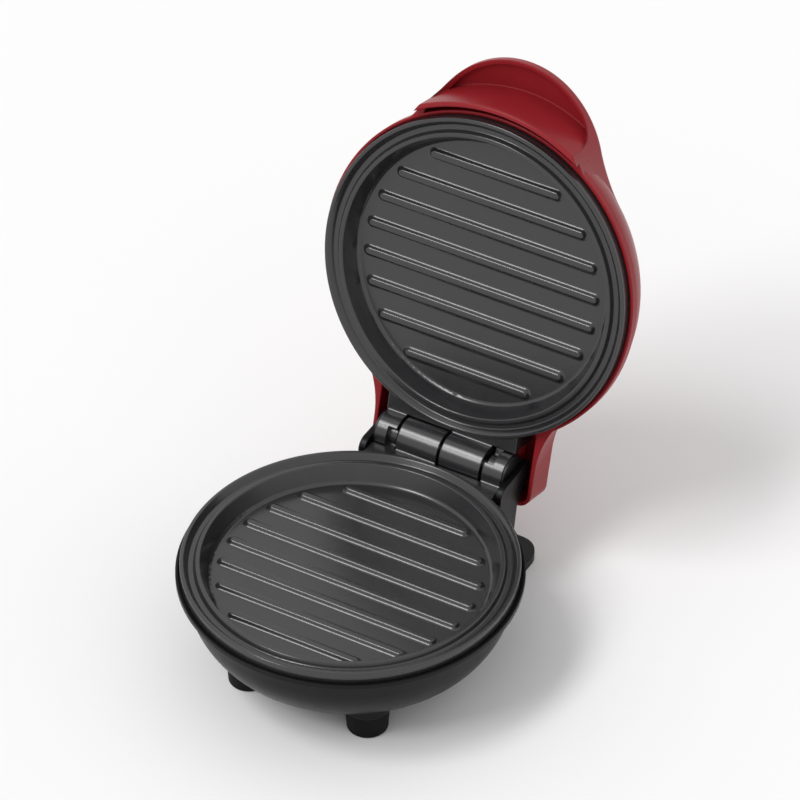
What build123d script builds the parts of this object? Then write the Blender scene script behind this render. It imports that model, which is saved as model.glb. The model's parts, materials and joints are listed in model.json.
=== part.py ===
"""A small round countertop cooker with two ribbed plates and a hinged lid.

Millimetres. The origin is on the floor, straight below the middle of the hinge.
+X runs along the hinge, +Y points to the back and +Z up. The lid stands open,
against its stop. Its pieces are drawn closed and then swung open.
"""

from build123d import *
from math import cos, radians, sin, sqrt, tan
import os

# Overall places
closed_gap = 0.4
open_angle = 104.3
base_headroom = 4.8
dome_headroom = 1.4

# Cooking plates
plate_rim_radius = 61.9
rim_land = 1.4
groove_depth = 2.0
groove_outer_slope = 1.65
groove_floor_width = 1.85
groove_inner_slope = 1.0
groove_corner_radius = 0.5
ridge_width = 1.5
ridge_drop = 0.15
dish_depth = 7.1
dish_draft = 24.0
dish_corner_radius = 1.5
plate_wall = 2.9
flange_depth = 4.8
rim_edge_radius = 0.4
rib_count = 8
rib_pitch = 11.6
rib_shift = 0.3
rib_end_gap = 2.7
rib_base_width = 4.4
rib_height = 1.5
rib_taper = 36.0
rib_edge_radius = 0.7
rib_foot_radius = 1.2
tab_side_step = 0.45
tab_drop = 0.6
tab_thickness = 3.0
tab_neck = 0.6

# Hinge
knuckle_radius = 7.7
knuckle_inner_edge = 18.05
knuckle_outer_edge = 26.65
knuckle_gap = 1.3
knuckle_root_radius = 0.8
running_gap = 0.5
pin_radius = 2.5
pin_clearance = 0.05
notch_width = 3.4
notch_depth = 2.4
notch_from = 60.0
notch_to = 128.0
plug_radius = 7.3
plug_clearance = 0.1
plug_spigot = 2.4

# Base shell
shell_wall = 2.4
lip_gap = 0.5
lip_wall = 1.1
lip_overhang = 2.9
lip_below_rim = 4.0
base_lip_height = 2.0
lip_underside = 1.4
bowl_draft = 10.0
bowl_corner_radius = 27.0
bowl_bottom = 9.0
ear_clearance = 0.95
ear_thickness = 2.6
ear_front = 13.3
ear_rise = 1.8
ear_rim = 1.1
ear_corner_radius = 4.3
housing_front = 30.0
housing_ramp = 8.0
housing_ramp_rise = 6.0
housing_rear_tilt = 11.0
housing_rear = 0.7
housing_shoulder = 13.4
housing_bottom = 11.0
trough_clearance = 0.6
trough_rear_drop = 9.6
stop_half_width = 14.0
stop_gap = 0.2
heel_half_width = 33.4
heel_thickness = 3.6
heel_rear = 14.3
heel_front = 24.0
heel_corner_radius = 8.5
neck_half_width = 20.0

# Feet and the screws above them
foot_inset = 11.8
foot_angle = 51.0
foot_height = 10.0
foot_radius = 8.2
foot_tip_radius = 7.56
foot_edge_radius = 1.0
foot_stem_margin = 0.3
foot_stem_length = 3.0
foot_pad_lip = 0.3
screw_radius = 1.95
screw_clearance = 0.05
screw_head_radius = 3.7
screw_head_height = 2.6
counterbore_clearance = 0.1
post_wall = 2.3
boss_radius = 4.3
boss_skin = 0.6

# Heating
element_boss_gap = 2.0
element_radius = 3.3
element_clearance = 0.05
element_gap_angle = 28.0
element_bend_radius = 6.0
element_leg = 2.0
channel_wall = 1.2
channel_depth = 3.0
terminal_stem_radius = 1.2
terminal_stem = 1.5
blade_width = 6.3
blade_thickness = 0.8
blade_length = 6.3
shield_thickness = 0.6
shield_inset = 5.4
shield_flare = 4.0
shield_rise = 4.5
shield_centre_hole = 17.0
shield_leg_clearance = 1.8

# Thermostat and fuse
thermostat_radius = 8.0
thermostat_cap_height = 3.0
thermostat_body_radius = 7.6
thermostat_body_height = 6.2
thermostat_pad_height = 2.0
thermostat_flange_length = 31.0
thermostat_flange_width = 7.0
thermostat_flange_thickness = 0.8
thermostat_screw_spacing = 24.0
thermostat_boss_radius = 3.2
small_screw_radius = 1.45
small_head_radius = 2.6
small_head_height = 1.6
fuse_setback = 24.0
fuse_radius = 2.0
fuse_length = 11.0
fuse_wire_radius = 0.5
fuse_wire_length = 9.0
sleeve_radius = 3.0
sleeve_bore = 2.1
sleeve_length = 32.0
clip_thickness = 0.6
clip_width = 8.0
clip_foot = 5.0

# Supply terminals and gland
block_length = 24.0
block_depth = 11.0
block_height = 9.0
block_front = 21.5
block_hole_radius = 1.6
block_pole_spacing = 14.0
clamp_screw_radius = 1.3
clamp_screw_length = 4.0
gland_height = 22.5
gland_bore = 3.0
gland_body_radius = 4.2
gland_flange_radius = 6.2
gland_flange_thickness = 2.0
gland_clearance = 0.05
gland_boss_radius = 7.6
gland_seat = 0.9

# Lid shell
lid_lip_height = 3.6
lid_lip_step = 0.6
dome_side_step = 1.1
dome_draft = 6.0
dome_corner_radius = 26.5
cover_side_gap = 2.3
cover_rear_gap = 4.9
cover_wall = 1.5
cover_front = 30.0
cover_edge = 5.3
cover_top = 19.2
cover_corner_radius = 5.0
cover_edge_radius = 1.5
cover_blend_radius = 40.0
cover_low_inset = 2.0
cover_high_inset = 5.6

# Grip
grip_reach = 16.9
grip_radius = 34.4
grip_wall = 2.1
grip_bottom = 1.5
grip_top = 22.9
grip_crown_radius = 100.0
grip_slope = 15.0
grip_edge_radius = 1.6
flare_radius = 45.0
flare_low_inset = 0.5
flare_high_inset = 10.0
slot_width = 2.0
pocket_wall = 2.0
mouth_bottom_inset = 1.85
mouth_top_inset = 4.9
mouth_height = 17.8
mouth_corner_radius = 9.0
mouth_hem = 1.7
mouth_edge_radius = 0.6
pocket_edge_radius = 0.7

# Lid fastenings and pilot lamp
lug_x = 22.0
lug_half_width = 4.5
lug_clearance = 0.6
lug_depth = 4.7
lug_top = 15.2
lid_screw_height = 12.2
lid_screw_radius = 1.7
lid_screw_head_radius = 3.1
lid_screw_head_height = 2.2
lid_post_radius = 4.0
shield_screw_length = 5.4
lens_radius = 5.0
lens_stem_radius = 4.0
lens_flange = 1.0
lens_clearance = 0.1
lens_setback = 22.0
lamp_radius = 2.9
lamp_length = 9.0
holder_radius = 5.6
holder_length = 7.0

# Heights worked out from the sizes above: the room for the heating sets both shells' heights
terminal_length = terminal_stem + blade_length
heating_depth = dish_depth + plate_wall + channel_depth + element_bend_radius + element_leg + terminal_length
rim_height = bowl_bottom + shell_wall + base_headroom + heating_depth
dome_top = closed_gap + heating_depth + dome_headroom + shell_wall
hinge_height = rim_height + closed_gap / 2
dish_floor = rim_height - dish_depth
plate_underside = dish_floor - plate_wall
flange_bottom = rim_height - flange_depth
tab_top = rim_height - tab_drop
element_height = plate_underside - channel_depth
shield_top = element_height - element_radius - 2 * element_clearance
shield_bottom = shield_top - shield_thickness
head_seat = foot_height + foot_stem_length + screw_head_height + counterbore_clearance

# Radii and places worked out from the plate's rim and the hinge's barrel
hinge_setback = plate_rim_radius + tab_neck + running_gap + knuckle_radius
hinge_axis = Axis((0, 0, hinge_height), (1, 0, 0))
base_axis = Axis((0, -hinge_setback, 0), (0, 0, 1))
groove_outer = plate_rim_radius - rim_land
groove_floor_outer = groove_outer - groove_outer_slope
groove_floor_inner = groove_floor_outer - groove_floor_width
ridge_outer = groove_floor_inner - groove_inner_slope
dish_mouth = ridge_outer - ridge_width
dish_floor_radius = dish_mouth - (dish_depth - ridge_drop) * tan(radians(dish_draft))
rib_end_radius = dish_floor_radius - rib_end_gap
shield_flat_radius = dish_floor_radius - shield_inset
shield_radius = shield_flat_radius + shield_flare
lip_inner = plate_rim_radius + lip_gap
lip_radius = lip_inner + lip_wall
bowl_top_radius = lip_radius - lip_overhang
dome_side_radius = lip_radius - dome_side_step
tab_rear = knuckle_radius + running_gap
tab_half_width = knuckle_outer_edge + tab_side_step
bore_radius = pin_radius + pin_clearance
ear_inner = knuckle_outer_edge + ear_clearance
ear_outer = ear_inner + ear_thickness
ear_rear_radius = knuckle_radius + ear_rim
lug_rear = knuckle_radius + lug_clearance
lug_front = lug_rear + lug_depth
cover_inner_rear = knuckle_radius + cover_rear_gap
cover_rear = cover_inner_rear + cover_wall
cover_half_width = ear_outer + cover_side_gap + cover_wall
grip_centre = lip_radius + grip_reach - grip_radius
pocket_wall_radius = lip_radius + slot_width + pocket_wall
foot_ring_radius = dish_floor_radius - foot_inset
foot_x = foot_ring_radius * cos(radians(foot_angle))
foot_y = foot_ring_radius * sin(radians(foot_angle))
element_ring_radius = foot_ring_radius - boss_radius - element_radius - element_boss_gap
foot_places = [(x, y) for y in (-foot_y, foot_y) for x in (-foot_x, foot_x)]
screw_hole_radius = screw_radius + screw_clearance
foot_stem_radius = screw_head_radius + foot_stem_margin
counterbore_radius = foot_stem_radius + counterbore_clearance


def level(height):
    """Horizontal plane on the axis of the round base, at a height above the floor."""
    return Plane(origin=(0, -hinge_setback, height))


def across(x):
    """Upright plane at x: its own x runs to the back and its own y upwards from the floor."""
    return Plane(origin=(x, 0, 0), x_dir=(0, 1, 0), z_dir=(1, 0, 0))


def upright():
    """Upright plane through the base axis: its own x is the radius, its own y the height."""
    return Plane(origin=(0, -hinge_setback, 0), x_dir=(1, 0, 0), z_dir=(0, -1, 0))


def turned_over(piece):
    """The same piece turned half a turn about the line along Y through the hinge."""
    return piece.rotate(Axis((0, 0, hinge_height), (0, 1, 0)), 180)


def swung(piece):
    """A lid piece drawn closed, swung open about the hinge."""
    return piece.rotate(hinge_axis, -open_angle)


def swung_point(y, z):
    """Where a point of the closed lid, measured from the hinge, lies when the lid is open."""
    turn = radians(open_angle)
    return (y * cos(turn) + z * sin(turn), hinge_height - y * sin(turn) + z * cos(turn))


def finish(builder, name):
    builder.part.label = name
    export_step(builder.part, f"parts/{name}.step")


def write_lid_piece(builder, name):
    builder.part = swung(builder.part)
    finish(builder, name)


os.makedirs("parts", exist_ok=True)


# Lower plate: a revolved dish with its flange
with BuildPart() as lower_plate:
    wall_across = plate_wall / cos(radians(dish_draft))
    dish_slope = tan(radians(dish_draft))
    cup_top_radius = dish_floor_radius + (dish_depth - flange_depth) * dish_slope + wall_across
    cup_bottom_radius = dish_floor_radius - plate_wall * dish_slope + wall_across
    with BuildSketch(upright()) as plate_section:
        with BuildLine():
            Polyline(
                (0, plate_underside),
                (cup_bottom_radius, plate_underside),
                (cup_top_radius, flange_bottom),
                (plate_rim_radius, flange_bottom),
                (plate_rim_radius, rim_height),
                (groove_outer, rim_height),
                (groove_floor_outer, rim_height - groove_depth),
                (groove_floor_inner, rim_height - groove_depth),
                (ridge_outer, rim_height - ridge_drop),
                (dish_mouth, rim_height - ridge_drop),
                (dish_floor_radius, dish_floor),
                (0, dish_floor),
                close=True,
            )
        make_face()
        section_corners = plate_section.vertices()
        floor_corner = section_corners.sort_by_distance((dish_floor_radius, dish_floor))[0]
        fillet(floor_corner, dish_corner_radius)
        for radius, drop, corner_radius in (
            (plate_rim_radius, 0, rim_edge_radius),
            (groove_outer, 0, rim_edge_radius),
            (groove_floor_outer, groove_depth, groove_corner_radius),
            (groove_floor_inner, groove_depth, groove_corner_radius),
            (ridge_outer, ridge_drop, rim_edge_radius),
            (dish_mouth, ridge_drop, rim_edge_radius),
        ):
            edge_point = (radius, rim_height - drop)
            fillet(plate_section.vertices().sort_by_distance(edge_point)[0], corner_radius)
    revolve(axis=base_axis)

    # Ribs, each with round ends on one circle
    for row in range(rib_count):
        rib_y = (row - (rib_count - 1) / 2) * rib_pitch + rib_shift
        if abs(rib_y) < rib_end_radius - rib_base_width:
            with BuildSketch(level(dish_floor)):
                with Locations((0, rib_y)):
                    SlotOverall(2 * sqrt(rib_end_radius**2 - rib_y**2), rib_base_width)
            extrude(amount=rib_height, taper=rib_taper)
    rib_tops = lower_plate.faces().filter_by(Plane.XY).group_by(Axis.Z)
    rib_top_faces = [
        face
        for group in rib_tops
        for face in group
        if abs(face.center().Z - dish_floor - rib_height) < 0.01
    ]
    fillet([edge for face in rib_top_faces for edge in face.edges()], rib_edge_radius)
    rib_feet = [
        edge
        for edge in lower_plate.edges()
        if abs((edge @ 0.5).Z - dish_floor) < 0.01
        and sqrt((edge @ 0.5).X ** 2 + ((edge @ 0.5).Y + hinge_setback) ** 2) < rib_end_radius + 0.1
    ]
    fillet(rib_feet, rib_foot_radius)

    # Tab from the rim to the hinge, and the knuckles that belong to this plate
    with BuildSketch(Plane.XY.offset(tab_top)):
        tab_front = hinge_setback - sqrt(plate_rim_radius**2 - tab_half_width**2) + rim_land
        with Locations((0, -(tab_rear + tab_front) / 2)):
            Rectangle(2 * tab_half_width, tab_front - tab_rear)
        with Locations((0, -hinge_setback)):
            Circle(plate_rim_radius - rim_land / 2, mode=Mode.SUBTRACT)
    extrude(amount=-tab_thickness)
    root_y = -sqrt(knuckle_radius**2 - (hinge_height - tab_top) ** 2)
    for own_from, own_to in (
        (-knuckle_inner_edge + knuckle_gap / 2, -knuckle_gap / 2),
        (knuckle_inner_edge + knuckle_gap / 2, knuckle_outer_edge),
    ):
        with BuildSketch(across(own_from)) as knuckle_side:
            with Locations((0, hinge_height)):
                Circle(knuckle_radius)
            with Locations((-tab_rear / 2 - running_gap, tab_top - tab_thickness / 2)):
                Rectangle(tab_rear + 2 * running_gap, tab_thickness)
            knuckle_root = knuckle_side.vertices().sort_by_distance((root_y, tab_top))[0]
            fillet(knuckle_root, knuckle_root_radius)
        extrude(amount=own_to - own_from)
    with BuildSketch(across(-knuckle_outer_edge)):
        with Locations((0, hinge_height)):
            Circle(bore_radius)
    extrude(amount=2 * knuckle_outer_edge, mode=Mode.SUBTRACT)

    # Notch beside the outer knuckle's inner end
    with BuildSketch(across(knuckle_inner_edge)):
        with Locations((0, hinge_height)):
            Circle(knuckle_radius + 1)
            Circle(knuckle_radius - notch_depth, mode=Mode.SUBTRACT)
            reach = 3 * knuckle_radius
            notch_rays = [
                (reach * cos(radians(angle)), reach * sin(radians(angle)))
                for angle in (notch_from, (notch_from + notch_to) / 2, notch_to)
            ]
            Polygon((0, 0), *notch_rays, align=None, mode=Mode.INTERSECT)
    extrude(amount=knuckle_gap / 2 + notch_width, mode=Mode.SUBTRACT)

    # Underside: channel for the heating element, pads and screw bosses
    with BuildSketch(level(plate_underside)):
        Circle(element_ring_radius + element_radius + channel_wall)
        Circle(element_ring_radius - element_radius - channel_wall, mode=Mode.SUBTRACT)
    extrude(amount=-channel_depth)
    with BuildSketch(upright()):
        with Locations((element_ring_radius, element_height)):
            Circle(element_radius + element_clearance)
    revolve(axis=base_axis, mode=Mode.SUBTRACT)
    with BuildSketch(level(plate_underside)):
        Circle(thermostat_radius + 1)
    extrude(amount=-thermostat_pad_height)
    with BuildSketch(level(plate_underside)):
        with Locations(
            (-thermostat_screw_spacing / 2, 0), (thermostat_screw_spacing / 2, 0)
        ):
            Circle(thermostat_boss_radius)
    extrude(amount=-thermostat_pad_height - thermostat_cap_height)
    with BuildSketch(level(plate_underside - thermostat_pad_height - thermostat_cap_height)):
        with Locations(
            (-thermostat_screw_spacing / 2, 0), (thermostat_screw_spacing / 2, 0)
        ):
            Circle(small_screw_radius + screw_clearance)
    extrude(amount=thermostat_pad_height + thermostat_cap_height, mode=Mode.SUBTRACT)
    with BuildSketch(level(shield_top)):
        with Locations(*foot_places):
            Circle(boss_radius)
    extrude(amount=plate_underside - shield_top)
    with BuildSketch(level(shield_top)):
        with Locations(*foot_places):
            Circle(screw_hole_radius)
    extrude(amount=plate_underside - shield_top + boss_skin, mode=Mode.SUBTRACT)
finish(lower_plate, "lower_plate")


# Base shell: a revolved bowl, then the hinge housing, the ears, the heel and the posts
with BuildPart() as base_shell:
    lip_top = rim_height - lip_below_rim
    lip_bottom = lip_top - base_lip_height
    bowl_top = lip_bottom - lip_underside
    above_ears = rim_height + ear_rise + 1
    bowl_slope = tan(radians(bowl_draft))
    bowl_wall_across = shell_wall / cos(radians(bowl_draft))
    bowl_foot_radius = bowl_top_radius - (bowl_top - bowl_bottom) * bowl_slope
    inner_floor = bowl_bottom + shell_wall
    inner_foot_radius = bowl_foot_radius + shell_wall * bowl_slope - bowl_wall_across
    mouth_radius = bowl_top_radius + (flange_bottom - bowl_top) * bowl_slope - bowl_wall_across
    with BuildSketch(upright()) as bowl_section:
        Polygon(
            (0, bowl_bottom),
            (bowl_foot_radius, bowl_bottom),
            (bowl_top_radius, bowl_top),
            (lip_radius, lip_bottom),
            (lip_radius, lip_top),
            (0, lip_top),
            align=None,
        )
        bowl_corner = bowl_section.vertices().sort_by_distance((bowl_foot_radius, bowl_bottom))[0]
        fillet(bowl_corner, bowl_corner_radius)
    revolve(axis=base_axis)

    # Hinge housing with its two ears
    rear_slope = tan(radians(housing_rear_tilt))
    shoulder_height = hinge_height - housing_shoulder
    rear_foot = -housing_rear - (shoulder_height - housing_bottom) * rear_slope
    ear_top = rim_height + ear_rise
    with BuildSketch(across(-ear_outer)) as housing_side:
        with Locations((0, hinge_height)):
            Circle(ear_rear_radius)
        with Locations((0, ear_top)):
            Rectangle(
                3 * ear_rear_radius,
                2 * ear_rear_radius,
                align=(Align.CENTER, Align.MIN),
                mode=Mode.SUBTRACT,
            )
        Polygon(
            (-housing_front, housing_bottom + housing_ramp_rise),
            (-housing_front + housing_ramp, housing_bottom),
            (rear_foot, housing_bottom),
            (-housing_rear, shoulder_height),
            (ear_rear_radius * cos(radians(60)), hinge_height - ear_rear_radius * sin(radians(60))),
            (sqrt(ear_rear_radius**2 - (ear_top - hinge_height) ** 2), ear_top),
            (-ear_front, ear_top),
            (-ear_front, lip_top),
            (-housing_front, lip_top),
            align=None,
        )
        ear_corner = housing_side.vertices().sort_by_distance((-ear_front, ear_top))[0]
        fillet(ear_corner, ear_corner_radius)
    extrude(amount=2 * ear_outer)

    # Stop for the open lid, on the back of the housing
    stop_face = cover_edge - closed_gap / 2 - stop_gap
    stop_high = swung_point(cover_inner_rear + running_gap, stop_face)
    stop_low = swung_point(cover_rear, stop_face)
    with BuildSketch(across(-stop_half_width)):
        Polygon(
            stop_high,
            stop_low,
            (-housing_rear - shell_wall / 2, stop_low[1] - shell_wall / 2),
            (-housing_rear - shell_wall / 2, stop_high[1]),
            align=None,
        )
    extrude(amount=2 * stop_half_width)

    # Heel on the floor behind the bowl, and the neck that carries it
    with BuildSketch(Plane.XY):
        with Locations((0, (heel_rear - heel_front) / 2)):
            RectangleRounded(2 * heel_half_width, heel_rear + heel_front, heel_corner_radius)
    extrude(amount=heel_thickness)
    with BuildSketch(across(-neck_half_width)):
        Polygon(
            (-heel_front, heel_thickness / 2),
            (rear_foot, heel_thickness / 2),
            (rear_foot, housing_bottom + shell_wall),
            (-heel_front, housing_bottom + shell_wall),
            align=None,
        )
    extrude(amount=2 * neck_half_width)

    # Round pads that the feet stand against, a little inside the bowl's floor
    with BuildSketch(level(foot_height)):
        with Locations(*foot_places):
            Circle(foot_radius + foot_pad_lip)
    extrude(amount=head_seat - foot_height)

    # Inside of the bowl, with the ledge that the plate's flange sits on
    with BuildSketch(upright()) as hollow_section:
        Polygon(
            (0, inner_floor),
            (inner_foot_radius, inner_floor),
            (mouth_radius, flange_bottom),
            (lip_inner, flange_bottom),
            (lip_inner, above_ears),
            (0, above_ears),
            align=None,
        )
        hollow_corner = hollow_section.vertices().sort_by_distance((inner_foot_radius, inner_floor))[0]
        fillet(hollow_corner, bowl_corner_radius - shell_wall)
    revolve(axis=base_axis, mode=Mode.SUBTRACT)

    # Inside of the housing, open to the bowl
    housing_wall_across = shell_wall / cos(radians(housing_rear_tilt))
    housing_floor = housing_bottom + shell_wall
    roof = flange_bottom - shell_wall
    trough_radius = knuckle_radius + trough_clearance
    roof_rear = hinge_height - trough_rear_drop - shell_wall
    with BuildSketch(across(-ear_inner)):
        Polygon(
            (-housing_front, housing_floor + housing_ramp_rise),
            (-housing_front + housing_ramp, housing_floor),
            (rear_foot + shell_wall * rear_slope - housing_wall_across, housing_floor),
            (-housing_rear - (shoulder_height - roof_rear) * rear_slope - housing_wall_across, roof_rear),
            (-trough_radius, roof_rear + shell_wall),
            (-trough_radius - shell_wall, roof),
            (-housing_front, roof),
            align=None,
        )
    extrude(amount=2 * ear_inner, mode=Mode.SUBTRACT)

    # Trough under the barrel
    with BuildSketch(across(-ear_inner)):
        with Locations((0, hinge_height)):
            Circle(trough_radius)
        with Locations((-trough_radius, lip_top)):
            Rectangle(2 * trough_radius, above_ears, align=(Align.CENTER, Align.MIN))
        with Locations((trough_radius, hinge_height - trough_rear_drop)):
            Rectangle(2 * trough_radius, above_ears, align=(Align.CENTER, Align.MIN))
    extrude(amount=2 * ear_inner, mode=Mode.SUBTRACT)

    # Posts up to the heat shield, with the screws' counterbores below
    with BuildSketch(level(foot_height)):
        with Locations(*foot_places):
            Circle(counterbore_radius + post_wall)
    extrude(amount=head_seat + post_wall - foot_height)
    with BuildSketch(level(head_seat)):
        with Locations(*foot_places):
            Circle(screw_hole_radius + post_wall)
    extrude(amount=shield_bottom - head_seat)
    with BuildSketch(level(foot_height)):
        with Locations(*foot_places):
            Circle(foot_radius + foot_pad_lip)
    extrude(amount=bowl_bottom - foot_height, mode=Mode.SUBTRACT)
    with BuildSketch(level(foot_height)):
        with Locations(*foot_places):
            Circle(counterbore_radius)
    extrude(amount=head_seat - foot_height, mode=Mode.SUBTRACT)
    with BuildSketch(level(foot_height)):
        with Locations(*foot_places):
            Circle(screw_hole_radius)
    extrude(amount=shield_bottom - foot_height, mode=Mode.SUBTRACT)

    # Boss and hole for the cord gland
    gland_plane = Plane(origin=(0, -gland_seat, gland_height), x_dir=(-1, 0, 0), z_dir=(0, 1, 0))
    gland_boss_length = housing_wall_across + 2 * gland_seat + shell_wall
    with BuildSketch(gland_plane):
        Circle(gland_boss_radius)
    extrude(amount=-gland_boss_length)
    with BuildSketch(gland_plane):
        Circle(gland_body_radius + gland_clearance)
    extrude(amount=-gland_boss_length, mode=Mode.SUBTRACT)

    # Pilot hole for the terminal block's screw
    block_middle = -block_front + block_depth / 2
    with BuildSketch(Plane.XY.offset(housing_floor)):
        with Locations((0, block_middle)):
            Circle(small_screw_radius + screw_clearance)
    extrude(amount=-2 * shell_wall, mode=Mode.SUBTRACT)
finish(base_shell, "base_shell")


# Feet: tapered rubber with a stem that plugs the counterbore
foot_names = ("foot_front_left", "foot_front_right", "foot_rear_left", "foot_rear_right")
for foot_name, (x, y) in zip(foot_names, foot_places):
    foot_plane = Plane(origin=(x, y - hinge_setback, 0), x_dir=(1, 0, 0), z_dir=(0, -1, 0))
    with BuildPart() as foot:
        with BuildSketch(foot_plane) as foot_section:
            Polygon(
                (0, 0),
                (foot_tip_radius, 0),
                (foot_radius, foot_height),
                (foot_stem_radius, foot_height),
                (foot_stem_radius, foot_height + foot_stem_length),
                (0, foot_height + foot_stem_length),
                align=None,
            )
            tip_corner = foot_section.vertices().sort_by_distance((foot_tip_radius, 0))[0]
            fillet(tip_corner, foot_edge_radius)
        revolve(axis=Axis((x, y - hinge_setback, 0), (0, 0, 1)))
    finish(foot, foot_name)

# Screws from under the feet up into the plate
with BuildPart() as base_screws:
    with BuildSketch(level(head_seat)):
        with Locations(*foot_places):
            Circle(screw_head_radius)
    extrude(amount=-screw_head_height)
    with BuildSketch(level(head_seat)):
        with Locations(*foot_places):
            Circle(screw_radius)
    extrude(amount=plate_underside - head_seat)
finish(base_screws, "base_screws")

# Heating element: an open ring in the plate's channel, with two legs through the shield
with BuildPart() as lower_element:
    ring_end = radians(90 - element_gap_angle)
    with BuildLine() as element_path:
        for side in (1, -1):
            end_x = side * element_ring_radius * cos(ring_end)
            end_y = element_ring_radius * sin(ring_end) - hinge_setback
            bend_x = -side * element_bend_radius * sin(ring_end)
            bend_y = element_bend_radius * cos(ring_end)
            leg_x = end_x + bend_x
            leg_y = end_y + bend_y
            bend_height = element_height - element_bend_radius
            part_way = sin(radians(45))
            bend_middle = bend_height + element_bend_radius * part_way
            Line((leg_x, leg_y, bend_height - element_leg), (leg_x, leg_y, bend_height))
            ThreePointArc(
                (leg_x, leg_y, bend_height),
                (end_x + bend_x * part_way, end_y + bend_y * part_way, bend_middle),
                (end_x, end_y, element_height),
            )
            ThreePointArc(
                (end_x, end_y, element_height),
                (side * element_ring_radius, -hinge_setback, element_height),
                (0, -element_ring_radius - hinge_setback, element_height),
            )
    leg_bottom = bend_height - element_leg
    leg_places = [(-leg_x, leg_y), (leg_x, leg_y)]
    with BuildSketch(Plane.XY.offset(leg_bottom)):
        with Locations(leg_places[1]):
            Circle(element_radius)
    sweep(path=element_path.wires()[0])
finish(lower_element, "lower_element")

with BuildPart() as lower_element_terminals:
    with BuildSketch(Plane.XY.offset(leg_bottom)):
        with Locations(*leg_places):
            Circle(terminal_stem_radius)
    extrude(amount=-terminal_stem)
    with BuildSketch(Plane.XY.offset(leg_bottom - terminal_stem)):
        with Locations(*leg_places):
            Rectangle(blade_width, blade_thickness)
    extrude(amount=-blade_length)
finish(lower_element_terminals, "lower_element_terminals")

# Heat shield: a pressed dish under the element
with BuildPart() as lower_heat_shield:
    with BuildSketch(upright()):
        Polygon(
            (shield_centre_hole, shield_bottom),
            (shield_flat_radius, shield_bottom),
            (shield_radius, shield_bottom + shield_rise),
            (shield_radius - shield_thickness, shield_bottom + shield_rise),
            (shield_flat_radius - shield_thickness / 2, shield_top),
            (shield_centre_hole, shield_top),
            align=None,
        )
    revolve(axis=base_axis)
    with BuildSketch(level(shield_bottom)):
        with Locations(*foot_places):
            Circle(screw_hole_radius)
    extrude(amount=shield_thickness, mode=Mode.SUBTRACT)
    with BuildSketch(Plane.XY.offset(shield_bottom)):
        with Locations(*leg_places):
            Circle(element_radius + shield_leg_clearance)
    extrude(amount=shield_thickness, mode=Mode.SUBTRACT)
finish(lower_heat_shield, "lower_heat_shield")

# Snap disc thermostat against the pad in the middle of the plate
pad_bottom = plate_underside - thermostat_pad_height
flange_top = pad_bottom - thermostat_cap_height
body_top = flange_top - thermostat_flange_thickness
blade_top = body_top - thermostat_body_height
thermostat_screw_places = [(-thermostat_screw_spacing / 2, 0), (thermostat_screw_spacing / 2, 0)]
with BuildPart() as thermostat:
    with BuildSketch(level(pad_bottom)):
        Circle(thermostat_radius)
    extrude(amount=-thermostat_cap_height)
    with BuildSketch(level(flange_top)):
        SlotOverall(thermostat_flange_length, thermostat_flange_width)
        with Locations(*thermostat_screw_places):
            Circle(small_screw_radius + screw_clearance, mode=Mode.SUBTRACT)
    extrude(amount=-thermostat_flange_thickness)
    with BuildSketch(level(body_top)):
        Circle(thermostat_body_radius)
    extrude(amount=-thermostat_body_height)
    with BuildSketch(level(blade_top)):
        with Locations((0, -thermostat_body_radius / 2), (0, thermostat_body_radius / 2)):
            Rectangle(blade_width, blade_thickness)
    extrude(amount=-blade_length)
finish(thermostat, "thermostat")

with BuildPart() as thermostat_screws:
    with BuildSketch(level(body_top)):
        with Locations(*thermostat_screw_places):
            Circle(small_head_radius)
    extrude(amount=-small_head_height)
    with BuildSketch(level(body_top)):
        with Locations(*thermostat_screw_places):
            Circle(small_screw_radius)
    extrude(amount=plate_underside - boss_skin - body_top)
finish(thermostat_screws, "thermostat_screws")

# One-shot fuse in its sleeve, clipped under the shield
fuse_height = shield_bottom - sleeve_radius
fuse_y = -hinge_setback - fuse_setback
with BuildPart() as thermal_fuse:
    with BuildSketch(across(-fuse_length / 2)):
        with Locations((fuse_y, fuse_height)):
            Circle(fuse_radius)
    extrude(amount=fuse_length)
    with BuildSketch(across(-fuse_length / 2 - fuse_wire_length)):
        with Locations((fuse_y, fuse_height)):
            Circle(fuse_wire_radius)
    extrude(amount=fuse_length + 2 * fuse_wire_length)
finish(thermal_fuse, "thermal_fuse")

with BuildPart() as fuse_sleeve:
    with BuildSketch(across(-sleeve_length / 2)):
        with Locations((fuse_y, fuse_height)):
            Circle(sleeve_radius)
            Circle(sleeve_bore, mode=Mode.SUBTRACT)
    extrude(amount=sleeve_length)
finish(fuse_sleeve, "fuse_sleeve")

with BuildPart() as fuse_clip:
    clip_inner = sleeve_radius + element_clearance
    with BuildSketch(across(-clip_width / 2)):
        with Locations((fuse_y, fuse_height)):
            Circle(clip_inner + clip_thickness)
            Rectangle(
                2 * (clip_inner + clip_thickness),
                clip_inner + clip_thickness,
                align=(Align.CENTER, Align.MIN),
                mode=Mode.SUBTRACT,
            )
            Rectangle(2 * (clip_inner + clip_thickness), sleeve_radius, align=(Align.CENTER, Align.MIN))
            Circle(clip_inner, mode=Mode.SUBTRACT)
            Rectangle(
                2 * clip_inner, sleeve_radius, align=(Align.CENTER, Align.MIN), mode=Mode.SUBTRACT
            )
        for side in (-1, 1):
            foot_middle = fuse_y + side * (clip_inner + clip_foot / 2)
            with Locations((foot_middle, shield_bottom - clip_thickness / 2)):
                Rectangle(clip_foot, clip_thickness)
    extrude(amount=clip_width)
finish(fuse_clip, "fuse_clip")

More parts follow.
